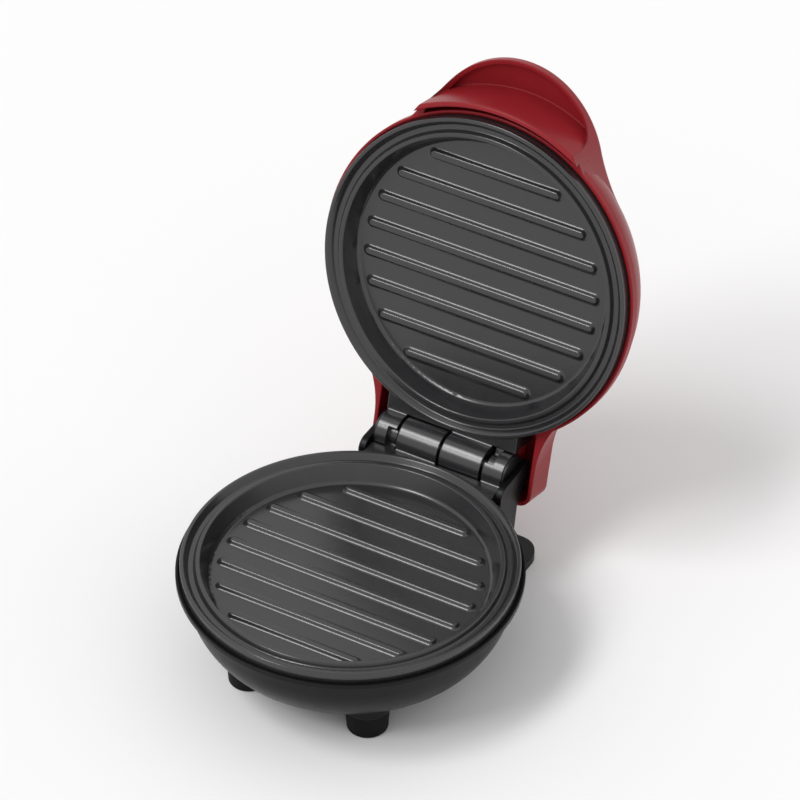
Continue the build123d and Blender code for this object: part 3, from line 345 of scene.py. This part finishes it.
class CookerFinish(bpy.types.PropertyGroup):
    """Colours, and the lid's gloss"""

    lid_colour: bpy.props.FloatVectorProperty(
        name="Lid",
        description="Colour of the glossy lid",
        subtype="COLOR",
        size=4,
        default=hex_colour("#94232a"),
    )
    lid_deep_colour: bpy.props.FloatVectorProperty(
        name="Lid, deep",
        description="Darker drift of the lid",
        subtype="COLOR",
        size=4,
        default=hex_colour("#8b2026"),
    )
    lid_roughness: bpy.props.FloatProperty(
        name="Lid roughness",
        description="Roughness of the lid's gloss",
        default=0.3,
        min=0.02,
        max=1.0,
    )
    base_colour: bpy.props.FloatVectorProperty(
        name="Base",
        description="Colour of the base shell",
        subtype="COLOR",
        size=4,
        default=hex_colour("#0f0f10"),
    )
    base_deep_colour: bpy.props.FloatVectorProperty(
        name="Base, deep",
        description="Darker drift of the base",
        subtype="COLOR",
        size=4,
        default=hex_colour("#0c0c0d"),
    )
    coating_colour: bpy.props.FloatVectorProperty(
        name="Coating",
        description="Non-stick coating",
        subtype="COLOR",
        size=4,
        default=hex_colour("#262527"),
    )
    coating_deep_colour: bpy.props.FloatVectorProperty(
        name="Coating, deep",
        description="Darker drift of the coating",
        subtype="COLOR",
        size=4,
        default=hex_colour("#232224"),
    )
    rubber_colour: bpy.props.FloatVectorProperty(
        name="Rubber",
        description="Colour of the feet",
        subtype="COLOR",
        size=4,
        default=hex_colour("#111111"),
    )
    rubber_deep_colour: bpy.props.FloatVectorProperty(
        name="Rubber, deep",
        description="Darker drift of the feet",
        subtype="COLOR",
        size=4,
        default=hex_colour("#0d0d0d"),
    )
    lens_colour: bpy.props.FloatVectorProperty(
        name="Lens",
        description="Colour of the pilot lamp's lens",
        subtype="COLOR",
        size=4,
        default=hex_colour("#d8402a"),
    )
    lens_deep_colour: bpy.props.FloatVectorProperty(
        name="Lens, deep",
        description="Darker drift of the lens",
        subtype="COLOR",
        size=4,
        default=hex_colour("#c23622"),
    )


class CookerStudio(bpy.types.PropertyGroup):
    """Camera, lamps and floor"""

    camera_place: bpy.props.FloatVectorProperty(
        name="Camera",
        description="Where the camera stands",
        subtype="TRANSLATION",
        default=(0.8357, -1.4949, 1.47635),
    )
    camera_aim: bpy.props.FloatVectorProperty(
        name="Aim",
        description="Point that the camera looks at",
        subtype="TRANSLATION",
        default=(-0.02004, 0.0, 0.0613),
    )
    camera_roll: bpy.props.FloatProperty(
        name="Roll",
        description="Turn about the line of sight",
        subtype="ANGLE",
        default=math.radians(0.177),
    )
    lens: bpy.props.FloatProperty(
        name="Lens",
        description="Focal length on a 36 mm wide sensor",
        subtype="DISTANCE_CAMERA",
        default=271.8,
    )
    key_strength: bpy.props.FloatProperty(
        name="Soft box",
        description="Strength of the long soft box in front",
        default=1.4,
        min=0.0,
    )
    key_spread: bpy.props.FloatProperty(
        name="Box depth",
        description="Apparent depth of the soft box",
        subtype="ANGLE",
        default=math.radians(17),
    )
    top_bearing: bpy.props.FloatProperty(
        name="Top bearing",
        description="Side of the box's upper half",
        subtype="ANGLE",
        default=math.radians(227),
    )
    top_height: bpy.props.FloatProperty(
        name="Top height",
        description="How high its upper half stands",
        subtype="ANGLE",
        default=math.radians(60),
    )
    low_bearing: bpy.props.FloatProperty(
        name="Low bearing",
        description="Side of the box's lower half",
        subtype="ANGLE",
        default=math.radians(246),
    )
    low_height: bpy.props.FloatProperty(
        name="Low height",
        description="How high its lower half stands",
        subtype="ANGLE",
        default=math.radians(47),
    )
    sky_strength: bpy.props.FloatProperty(
        name="Room",
        description="Strength of the even light of the room",
        default=0.68,
        min=0.0,
    )
    floor_colour: bpy.props.FloatVectorProperty(
        name="Floor",
        description="Colour of the floor",
        subtype="COLOR",
        size=4,
        default=hex_colour("#fafafa"),
    )


class CookerSizes(bpy.types.PropertyGroup):
    """Sizes of the details that the solids leave out"""

    sole_groove: bpy.props.FloatProperty(
        name="Sole groove",
        description="Depth of the grooves in a foot's sole",
        unit="LENGTH",
        default=0.5 * MM,
    )
    sole_pitch: bpy.props.FloatProperty(
        name="Groove pitch",
        description="Distance between those grooves",
        unit="LENGTH",
        default=1.6 * MM,
    )
    recess_share: bpy.props.FloatProperty(
        name="Recess",
        description="Width of a screw's cross recess, as a share of its head's",
        default=0.6,
    )
    arm_share: bpy.props.FloatProperty(
        name="Recess arm",
        description="Width of one arm of the cross, as a share of the head's",
        default=0.15,
    )
    pitch_share: bpy.props.FloatProperty(
        name="Thread pitch",
        description="Pitch of a screw's thread, as a share of its shank's width",
        default=0.36,
    )


def body_of(node):
    """The body that a solid belongs to."""
    bodies = frame["record"]["behaviour"]["bodies"]
    return next(body for body in bodies if node in bodies[body])


def loose_solids(node):
    """The separate solids of a node, each as the list of its points."""
    copy = bmesh.new()
    copy.from_mesh(frame["nodes"][node].data)
    bmesh.ops.remove_doubles(copy, verts=copy.verts, dist=0.001 * MM)
    copy.verts.ensure_lookup_table()
    seen = set()
    solids = []
    for start in copy.verts:
        if start.index in seen:
            continue
        seen.add(start.index)
        front = [start]
        points = []
        while front:
            vert = front.pop()
            points.append(vert.co.copy())
            for edge in vert.link_edges:
                other = edge.other_vert(vert)
                if other.index not in seen:
                    seen.add(other.index)
                    front.append(other)
        solids.append(points)
    copy.free()
    return solids


def new_tree(name, *inputs):
    """A tree of Geometry Nodes with named inputs, and the outputs of its input node."""
    tree = bpy.data.node_groups.new(name, "GeometryNodeTree")
    tree.interface.new_socket("Geometry", in_out="INPUT", socket_type="NodeSocketGeometry")
    for label, kind in inputs:
        tree.interface.new_socket(label, in_out="INPUT", socket_type="NodeSocket" + kind)
    tree.interface.new_socket("Geometry", in_out="OUTPUT", socket_type="NodeSocketGeometry")
    return tree, add_node(tree, "NodeGroupInput").outputs


def grow(name, start, tree, values, nodes):
    """A plain piece that a tree makes from a mesh, in place of some nodes of the frame."""
    piece = bpy.data.objects.new(name, start)
    bpy.context.scene.collection.objects.link(piece)
    modifier = piece.modifiers.new("grow", "NODES")
    modifier.node_group = tree
    for socket in tree.interface.items_tree:
        if socket.in_out == "INPUT" and socket.name in values:
            modifier[socket.identifier] = values[socket.name]
    ready = piece.evaluated_get(bpy.context.evaluated_depsgraph_get())
    mesh = bpy.data.meshes.new_from_object(ready)
    piece.modifiers.remove(modifier)
    piece.data = mesh
    bpy.data.meshes.remove(start)
    mesh.name = name
    mesh.shade_smooth()
    mesh.set_sharp_from_angle(angle=SHARP_ANGLE)
    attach(piece, body_of(nodes[0]))
    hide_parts(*nodes)


def screw_tree():
    """Turns places into screws: crowned heads with a cross recess, and shanks with a thread."""
    tree, given = new_tree(
        "cross_recess_screws",
        ("Head Radius", "Float"),
        ("Head Height", "Float"),
        ("Shank Radius", "Float"),
        ("Shank Length", "Float"),
        ("Recess Width", "Float"),
        ("Arm Width", "Float"),
        ("Thread Pitch", "Float"),
        ("Way", "Vector"),
        ("Finish", "Material"),
    )
    crown_share = 0.45  # how far the crown falls back at its rim, of the head's height
    core_share = 0.8  # radius of the core under the thread, of the shank's
    bead_share = 0.4  # radius of the thread's bead, of the pitch

    # Head: a disc below the seat, whose outer face is crowned by a square law
    half_head = add_node(tree, "ShaderNodeMath", {0: given["Head Height"], 1: -0.5}, operation="MULTIPLY")
    disc = add_node(
        tree,
        "GeometryNodeMeshCylinder",
        {
            "Vertices": 40,
            "Fill Segments": 8,
            "Radius": given["Head Radius"],
            "Depth": given["Head Height"],
        },
        fill_type="TRIANGLE_FAN",
    )
    point = add_node(tree, "GeometryNodeInputPosition").outputs["Position"]
    place = add_node(tree, "ShaderNodeSeparateXYZ", {0: point})
    across = add_node(tree, "ShaderNodeCombineXYZ", {"X": place.outputs["X"], "Y": place.outputs["Y"]})
    reach = add_node(tree, "ShaderNodeVectorMath", {0: across.outputs[0]}, operation="LENGTH")
    share = add_node(
        tree, "ShaderNodeMath", {0: reach.outputs["Value"], 1: given["Head Radius"]}, operation="DIVIDE"
    )
    square = add_node(tree, "ShaderNodeMath", {0: share.outputs[0], 1: 2.0}, operation="POWER")
    rise = add_node(
        tree, "ShaderNodeMath", {0: square.outputs[0], 1: given["Head Height"]}, operation="MULTIPLY"
    )
    crown = add_node(tree, "ShaderNodeMath", {0: rise.outputs[0], 1: crown_share}, operation="MULTIPLY")
    outer = add_node(tree, "ShaderNodeMath", {0: place.outputs["Z"], 1: 0.0}, operation="LESS_THAN")
    crowned = add_node(
        tree,
        "GeometryNodeSetPosition",
        {
            "Geometry": disc.outputs["Mesh"],
            "Selection": outer.outputs[0],
            "Offset": add_node(tree, "ShaderNodeCombineXYZ", {"Z": crown.outputs[0]}).outputs[0],
        },
    )
    head = add_node(
        tree,
        "GeometryNodeTransform",
        {
            "Geometry": crowned.outputs["Geometry"],
            "Translation": add_node(tree, "ShaderNodeCombineXYZ", {"Z": half_head.outputs[0]}).outputs[0],
        },
    )
    # Recess: two crossed arms sunk into the outer face
    top = add_node(tree, "ShaderNodeMath", {0: given["Head Height"], 1: -1.0}, operation="MULTIPLY")
    top_place = add_node(tree, "ShaderNodeCombineXYZ", {"Z": top.outputs[0]})
    cut = add_node(
        tree, "GeometryNodeMeshBoolean", {"Mesh 1": head.outputs["Geometry"]}, operation="DIFFERENCE"
    )
    for long_way, short_way in (("X", "Y"), ("Y", "X")):
        size = add_node(
            tree,
            "ShaderNodeCombineXYZ",
            {long_way: given["Recess Width"], short_way: given["Arm Width"], "Z": given["Head Height"]},
        )
        arm = add_node(tree, "GeometryNodeMeshCube", {"Size": size.outputs[0]})
        sunk = add_node(
            tree,
            "GeometryNodeTransform",
            {"Geometry": arm.outputs["Mesh"], "Translation": top_place.outputs[0]},
        )
        tree.links.new(sunk.outputs["Geometry"], cut.inputs["Mesh 2"])
    # Shank: a core, and a four-sided bead that winds round it and stays within the shank's radius
    core_radius = add_node(
        tree, "ShaderNodeMath", {0: given["Shank Radius"], 1: core_share}, operation="MULTIPLY"
    )
    core = add_node(
        tree,
        "GeometryNodeMeshCylinder",
        {"Vertices": 24, "Radius": core_radius.outputs[0], "Depth": given["Shank Length"]},
    )
    half_shank = add_node(tree, "ShaderNodeMath", {0: given["Shank Length"], 1: 0.5}, operation="MULTIPLY")
    shank = add_node(
        tree,
        "GeometryNodeTransform",
        {
            "Geometry": core.outputs["Mesh"],
            "Translation": add_node(tree, "ShaderNodeCombineXYZ", {"Z": half_shank.outputs[0]}).outputs[0],
        },
    )
    bead = add_node(tree, "ShaderNodeMath", {0: given["Thread Pitch"], 1: bead_share}, operation="MULTIPLY")
    two_beads = add_node(tree, "ShaderNodeMath", {0: bead.outputs[0], 1: 2.0}, operation="MULTIPLY")
    run = add_node(
        tree, "ShaderNodeMath", {0: given["Shank Length"], 1: two_beads.outputs[0]}, operation="SUBTRACT"
    )
    turns = add_node(
        tree, "ShaderNodeMath", {0: run.outputs[0], 1: given["Thread Pitch"]}, operation="DIVIDE"
    )
    wind = add_node(
        tree, "ShaderNodeMath", {0: given["Shank Radius"], 1: bead.outputs[0]}, operation="SUBTRACT"
    )
    helix = add_node(
        tree,
        "GeometryNodeCurveSpiral",
        {
            "Resolution": 16,
            "Rotations": turns.outputs[0],
            "Start Radius": wind.outputs[0],
            "End Radius": wind.outputs[0],
            "Height": run.outputs[0],
        },
    )
    section = add_node(
        tree, "GeometryNodeCurvePrimitiveCircle", {"Resolution": 4, "Radius": bead.outputs[0]}
    )
    ridge = add_node(
        tree,
        "GeometryNodeCurveToMesh",
        {"Curve": helix.outputs["Curve"], "Profile Curve": section.outputs["Curve"], "Fill Caps": True},
    )
    thread = add_node(
        tree,
        "GeometryNodeTransform",
        {
            "Geometry": ridge.outputs["Mesh"],
            "Translation": add_node(tree, "ShaderNodeCombineXYZ", {"Z": bead.outputs[0]}).outputs[0],
        },
    )
    screw = add_node(tree, "GeometryNodeJoinGeometry", {"Geometry": cut.outputs["Mesh"]})
    tree.links.new(shank.outputs["Geometry"], screw.inputs["Geometry"])
    tree.links.new(thread.outputs["Geometry"], screw.inputs["Geometry"])
    turn = add_node(tree, "FunctionNodeAlignRotationToVector", {"Vector": given["Way"]}, axis="Z")
    placed = add_node(
        tree,
        "GeometryNodeInstanceOnPoints",
        {
            "Points": given["Geometry"],
            "Instance": screw.outputs["Geometry"],
            "Rotation": turn.outputs["Rotation"],
        },
    )
    real = add_node(tree, "GeometryNodeRealizeInstances", {"Geometry": placed.outputs["Instances"]})
    dressed = add_node(
        tree, "GeometryNodeSetMaterial", {"Geometry": real.outputs["Geometry"], "Material": given["Finish"]}
    )
    add_node(tree, "NodeGroupOutput", {"Geometry": dressed.outputs["Geometry"]})
    return tree


def make_screws(name, node, tree, way, head_radius, head_height, shank_radius):
    """Screws of one size, each in the place of a solid of the node; the way runs from head to tip."""
    sizes = bpy.context.scene.cooker_sizes
    seats = []
    for points in loose_solids(node):
        low = min(point.dot(way) for point in points)
        high = max(point.dot(way) for point in points)
        centre = Vector([(min(p[i] for p in points) + max(p[i] for p in points)) / 2 for i in range(3)])
        seats.append(centre + way * (low + head_height - centre.dot(way)))
        length = high - low - head_height
    places = bpy.data.meshes.new(name + "_places")
    places.from_pydata(seats, [], [])
    values = {
        "Head Radius": head_radius,
        "Head Height": head_height,
        "Shank Radius": shank_radius,
        "Shank Length": length,
        "Recess Width": 2 * head_radius * sizes.recess_share,
        "Arm Width": 2 * head_radius * sizes.arm_share,
        "Thread Pitch": 2 * shank_radius * sizes.pitch_share,
        "Way": way,
        "Finish": surface_of(slot_of(node)),
    }
    grow(name, places, tree, values, (node,))


def turned_mesh(name, outline, steps):
    """A closed mesh turned round the Z axis from an outline of radius and height."""
    mesh = bmesh.new()
    rings = []
    for radius, height in outline:
        if radius == 0:
            rings.append([mesh.verts.new((0, 0, height))] * steps)
            continue
        angles = [2 * math.pi * step / steps for step in range(steps)]
        rings.append([mesh.verts.new((radius * math.cos(a), radius * math.sin(a), height)) for a in angles])
    for inner, outer in zip(rings, rings[1:]):
        for step in range(steps):
            after = (step + 1) % steps
            corners = dict.fromkeys((inner[step], inner[after], outer[after], outer[step]))
            mesh.faces.new(corners)
    bmesh.ops.recalc_face_normals(mesh, faces=mesh.faces)
    made = bpy.data.meshes.new(name)
    mesh.to_mesh(made)
    mesh.free()
    return made


def corner_tree():
    """Sets one piece at the four corners of a rectangle."""
    tree, given = new_tree(
        "feet_on_corners",
        ("Width", "Float"),
        ("Length", "Float"),
        ("Middle", "Vector"),
        ("Finish", "Material"),
    )
    corners = add_node(
        tree,
        "GeometryNodeMeshGrid",
        {"Size X": given["Width"], "Size Y": given["Length"], "Vertices X": 2, "Vertices Y": 2},
    )
    moved = add_node(
        tree, "GeometryNodeTransform", {"Geometry": corners.outputs["Mesh"], "Translation": given["Middle"]}
    )
    placed = add_node(
        tree,
        "GeometryNodeInstanceOnPoints",
        {"Points": moved.outputs["Geometry"], "Instance": given["Geometry"]},
    )
    real = add_node(tree, "GeometryNodeRealizeInstances", {"Geometry": placed.outputs["Instances"]})
    dressed = add_node(
        tree, "GeometryNodeSetMaterial", {"Geometry": real.outputs["Geometry"], "Material": given["Finish"]}
    )
    add_node(tree, "NodeGroupOutput", {"Geometry": dressed.outputs["Geometry"]})
    return tree


class CookerOperator:
    """What the operators of all pieces share"""

    bl_options = {"REGISTER", "UNDO"}


class COOKER_OT_base(CookerOperator, bpy.types.Operator):
    """Finish the black base shell"""

    bl_idname = "cooker.base"
    bl_label = "Base shell"

    def execute(self, context):
        dress("base_shell", "cord_gland")
        return {"FINISHED"}


class COOKER_OT_feet(CookerOperator, bpy.types.Operator):
    """Make the rubber feet, with rings cut in their soles"""

    bl_idname = "cooker.feet"
    bl_label = "Feet"

    def execute(self, context):
        sizes = context.scene.cooker_sizes
        # The same foot as the solid: a tapered pad with a rounded sole edge, under a stem
        tip_radius, top_radius, top = 7.56 * MM, 8.2 * MM, 10.0 * MM
        stem_radius, stem_top = 4.0 * MM, 13.0 * MM
        edge = 1.0 * MM
        edge_steps = 6
        ring_sides = 64
        # Its sole has V grooves, with a plain rim outside them
        first_groove, half_groove, plain_rim = 2.0 * MM, 0.4 * MM, 0.5 * MM

        outline = [(0, 0)]
        groove = first_groove
        while groove < tip_radius - edge - plain_rim:
            outline += [(groove - half_groove, 0), (groove, sizes.sole_groove), (groove + half_groove, 0)]
            groove += sizes.sole_pitch
        side = tip_radius + (top_radius - tip_radius) * edge / top
        for step in range(edge_steps + 1):
            angle = math.radians(90 * step / edge_steps)
            outline.append((side - edge + edge * math.sin(angle), edge - edge * math.cos(angle)))
        outline += [(top_radius, top), (stem_radius, top), (stem_radius, stem_top), (0, stem_top)]

        feet = ("foot_front_left", "foot_front_right", "foot_rear_left", "foot_rear_right")
        middles = [(Vector(low) + Vector(high)) / 2 for low, high in (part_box(foot) for foot in feet)]
        middle = sum(middles, Vector()) / len(middles)
        values = {
            "Width": 2 * abs(middles[0].x - middle.x),
            "Length": 2 * abs(middles[0].y - middle.y),
            "Middle": Vector((middle.x, middle.y, 0)),
            "Finish": surface_of(slot_of(feet[0])),
        }
        grow("rubber_feet", turned_mesh("foot", outline, ring_sides), corner_tree(), values, feet)
        return {"FINISHED"}


class COOKER_OT_plates(CookerOperator, bpy.types.Operator):
    """Finish the two coated cooking plates"""

    bl_idname = "cooker.plates"
    bl_label = "Cooking plates"

    def execute(self, context):
        dress("lower_plate", "upper_plate")
        return {"FINISHED"}


class COOKER_OT_lid(CookerOperator, bpy.types.Operator):
    """Finish the glossy lid"""

    bl_idname = "cooker.lid"
    bl_label = "Lid shell"

    def execute(self, context):
        dress("lid_shell")
        return {"FINISHED"}


class COOKER_OT_hinge(CookerOperator, bpy.types.Operator):
    """Finish the hinge pin and its plugs"""

    bl_idname = "cooker.hinge"
    bl_label = "Hinge"

    def execute(self, context):
        dress("hinge_pin", "hinge_plug_left", "hinge_plug_right")
        return {"FINISHED"}


class COOKER_OT_heating(CookerOperator, bpy.types.Operator):
    """Finish the elements, shields and their terminals"""

    bl_idname = "cooker.heating"
    bl_label = "Heating"

    def execute(self, context):
        for side in ("lower", "upper"):
            dress(f"{side}_element", f"{side}_element_terminals", f"{side}_heat_shield")
        return {"FINISHED"}


class COOKER_OT_controls(CookerOperator, bpy.types.Operator):
    """Finish the thermostat, the fuse and the terminal block"""

    bl_idname = "cooker.controls"
    bl_label = "Controls"

    def execute(self, context):
        dress("thermostat", "thermal_fuse", "fuse_sleeve", "fuse_clip", "terminal_block")
        return {"FINISHED"}


class COOKER_OT_lamp(CookerOperator, bpy.types.Operator):
    """Finish the pilot lamp, its lens and its holder"""

    bl_idname = "cooker.lamp"
    bl_label = "Pilot lamp"

    def execute(self, context):
        dress("indicator_lens", "lamp_holder", "indicator_lamp")
        return {"FINISHED"}


class COOKER_OT_screws(CookerOperator, bpy.types.Operator):
    """Make the screws, with recessed heads and threads"""

    bl_idname = "cooker.screws"
    bl_label = "Screws"

    def execute(self, context):
        tree = screw_tree()
        hinge = frame["record"]["behaviour"]["joints"][0]
        open_angle = math.radians(hinge["range_deg"][1])
        up, down = Vector((0, 0, 1)), Vector((0, 0, -1))
        into_lid = Matrix.Rotation(-open_angle, 3, "X")
        # piece, node, way in, then in mm: radius and height of the head, radius of the shank
        rows = (
            ("base_screw_set", "base_screws", up, 3.7, 2.6, 1.95),
            ("thermostat_screw_set", "thermostat_screws", up, 2.6, 1.6, 1.45),
            ("block_screw", "terminal_block_screw", down, 2.6, 1.6, 1.45),
            ("clamp_screw_set", "terminal_clamp_screws", down, 1.3, 1.0, 1.2),
            ("shield_screw_set", "upper_shield_screws", into_lid @ down, 3.7, 1.6, 1.95),
            ("lid_screw_set", "lid_screws", into_lid @ Vector((0, -1, 0)), 3.1, 2.2, 1.7),
        )
        for name, node, way, head_radius, head_height, shank_radius in rows:
            make_screws(name, node, tree, way, head_radius * MM, head_height * MM, shank_radius * MM)
        return {"FINISHED"}


class COOKER_OT_studio(CookerOperator, bpy.types.Operator):
    """Set the floor, the light and the camera"""

    bl_idname = "cooker.studio"
    bl_label = "Studio"

    def execute(self, context):
        scene = context.scene
        studio = scene.cooker_studio

        # Floor: a matt sheet, 24 m wide, clear when it is seen from below
        mesh = bpy.data.meshes.new("studio_floor")
        reach = 12.0
        corners = [(-reach, -reach, 0), (reach, -reach, 0), (reach, reach, 0), (-reach, reach, 0)]
        mesh.from_pydata(corners, [], [(0, 1, 2, 3)])
        floor = bpy.data.objects.new("studio_floor", mesh)
        scene.collection.objects.link(floor)
        material, tree, shader, _ = new_surface("matt_paper_floor", Roughness=0.9, Specular_IOR_Level=0.0)
        shader.inputs["Base Color"].default_value = studio.floor_colour
        side = add_node(tree, "ShaderNodeNewGeometry").outputs["Backfacing"]
        clear = add_node(tree, "ShaderNodeBsdfTransparent").outputs["BSDF"]
        both = add_node(tree, "ShaderNodeMixShader", {0: side, 1: shader.outputs["BSDF"], 2: clear})
        tree.links.new(both.outputs["Shader"], tree.nodes["Material Output"].inputs["Surface"])
        mesh.materials.append(material)

        # Light: a long soft box high in front, made of two lamps end to end
        halves = (
            (studio.top_bearing, studio.top_height),
            (studio.low_bearing, studio.low_height),
        )
        lamp = bpy.data.lights.new("soft_box", "SUN")
        lamp.energy = studio.key_strength / len(halves)
        lamp.angle = studio.key_spread
        for bearing, height in halves:
            flat = math.cos(height)
            away = Vector((flat * math.cos(bearing), flat * math.sin(bearing), math.sin(height)))
            box = bpy.data.objects.new("soft_box", lamp)
            box.rotation_mode = "QUATERNION"
            box.rotation_quaternion = away.to_track_quat("Z", "Y")
            scene.collection.objects.link(box)

        # Room: even light from all sides, which is seen and mirrored as plain white
        world = bpy.data.worlds.new("studio_room")
        scene.world = world
        world.use_nodes = True
        tree = world.node_tree
        shine = tree.nodes["Background"]
        path = add_node(tree, "ShaderNodeLightPath")
        seen = path.outputs["Is Camera Ray"]
        for ray in ("Is Glossy Ray", "Is Transmission Ray"):
            seen = add_node(
                tree, "ShaderNodeMath", {0: seen, 1: path.outputs[ray]}, operation="MAXIMUM"
            ).outputs["Value"]
        strength = add_node(
            tree, "ShaderNodeMapRange", {"Value": seen, "To Min": studio.sky_strength, "To Max": 1.0}
        )
        tree.links.new(strength.outputs["Result"], shine.inputs["Strength"])
        shine.inputs["Color"].default_value = (1.0, 1.0, 1.0, 1.0)

        # Camera: at the photograph's angle
        lens = bpy.data.cameras.new("photo_camera")
        lens.sensor_width = 36.0
        lens.lens = studio.lens
        lens.clip_end = 100.0
        camera = bpy.data.objects.new("photo_camera", lens)
        scene.collection.objects.link(camera)
        place = Vector(studio.camera_place)
        ahead = (Vector(studio.camera_aim) - place).normalized()
        right = ahead.cross(Vector((0, 0, 1))).normalized()
        right = Matrix.Rotation(-studio.camera_roll, 3, ahead) @ right
        up = right.cross(ahead)
        axes = Matrix((right, up, -ahead)).transposed().to_4x4()
        camera.matrix_world = Matrix.Translation(place) @ axes
        scene.camera = camera

        scene.view_settings.view_transform = "Standard"
        return {"FINISHED"}


OPERATORS = (
    COOKER_OT_base,
    COOKER_OT_feet,
    COOKER_OT_plates,
    COOKER_OT_lid,
    COOKER_OT_hinge,
    COOKER_OT_heating,
    COOKER_OT_controls,
    COOKER_OT_lamp,
    COOKER_OT_screws,
    COOKER_OT_studio,
)


class COOKER_PT_panel(bpy.types.Panel):
    """Lists the cooker's pieces"""

    bl_idname = "COOKER_PT_panel"
    bl_label = "Stuffed waffle maker"
    bl_space_type = "VIEW_3D"
    bl_region_type = "UI"
    bl_category = "Cooker"

    def draw(self, context):
        layout = self.layout
        scene = context.scene
        for group in (scene.cooker_sizes, scene.cooker_finish, scene.cooker_studio):
            column = layout.column()
            for name in group.__annotations__:
                column.prop(group, name)
        for operator in OPERATORS:
            layout.operator(operator.bl_idname)


CLASSES = (CookerSizes, CookerFinish, CookerStudio, *OPERATORS, COOKER_PT_panel)


def register():
    for part in CLASSES:
        bpy.utils.register_class(part)
    bpy.types.Scene.cooker_sizes = bpy.props.PointerProperty(type=CookerSizes)
    bpy.types.Scene.cooker_finish = bpy.props.PointerProperty(type=CookerFinish)
    bpy.types.Scene.cooker_studio = bpy.props.PointerProperty(type=CookerStudio)


def unregister():
    del bpy.types.Scene.cooker_sizes
    del bpy.types.Scene.cooker_finish
    del bpy.types.Scene.cooker_studio
    for part in reversed(CLASSES):
        bpy.utils.unregister_class(part)


def main():
    register()
    for operator in OPERATORS:
        group, name = operator.bl_idname.split(".")
        getattr(getattr(bpy.ops, group), name)()


if __name__ == "__main__":
    main()
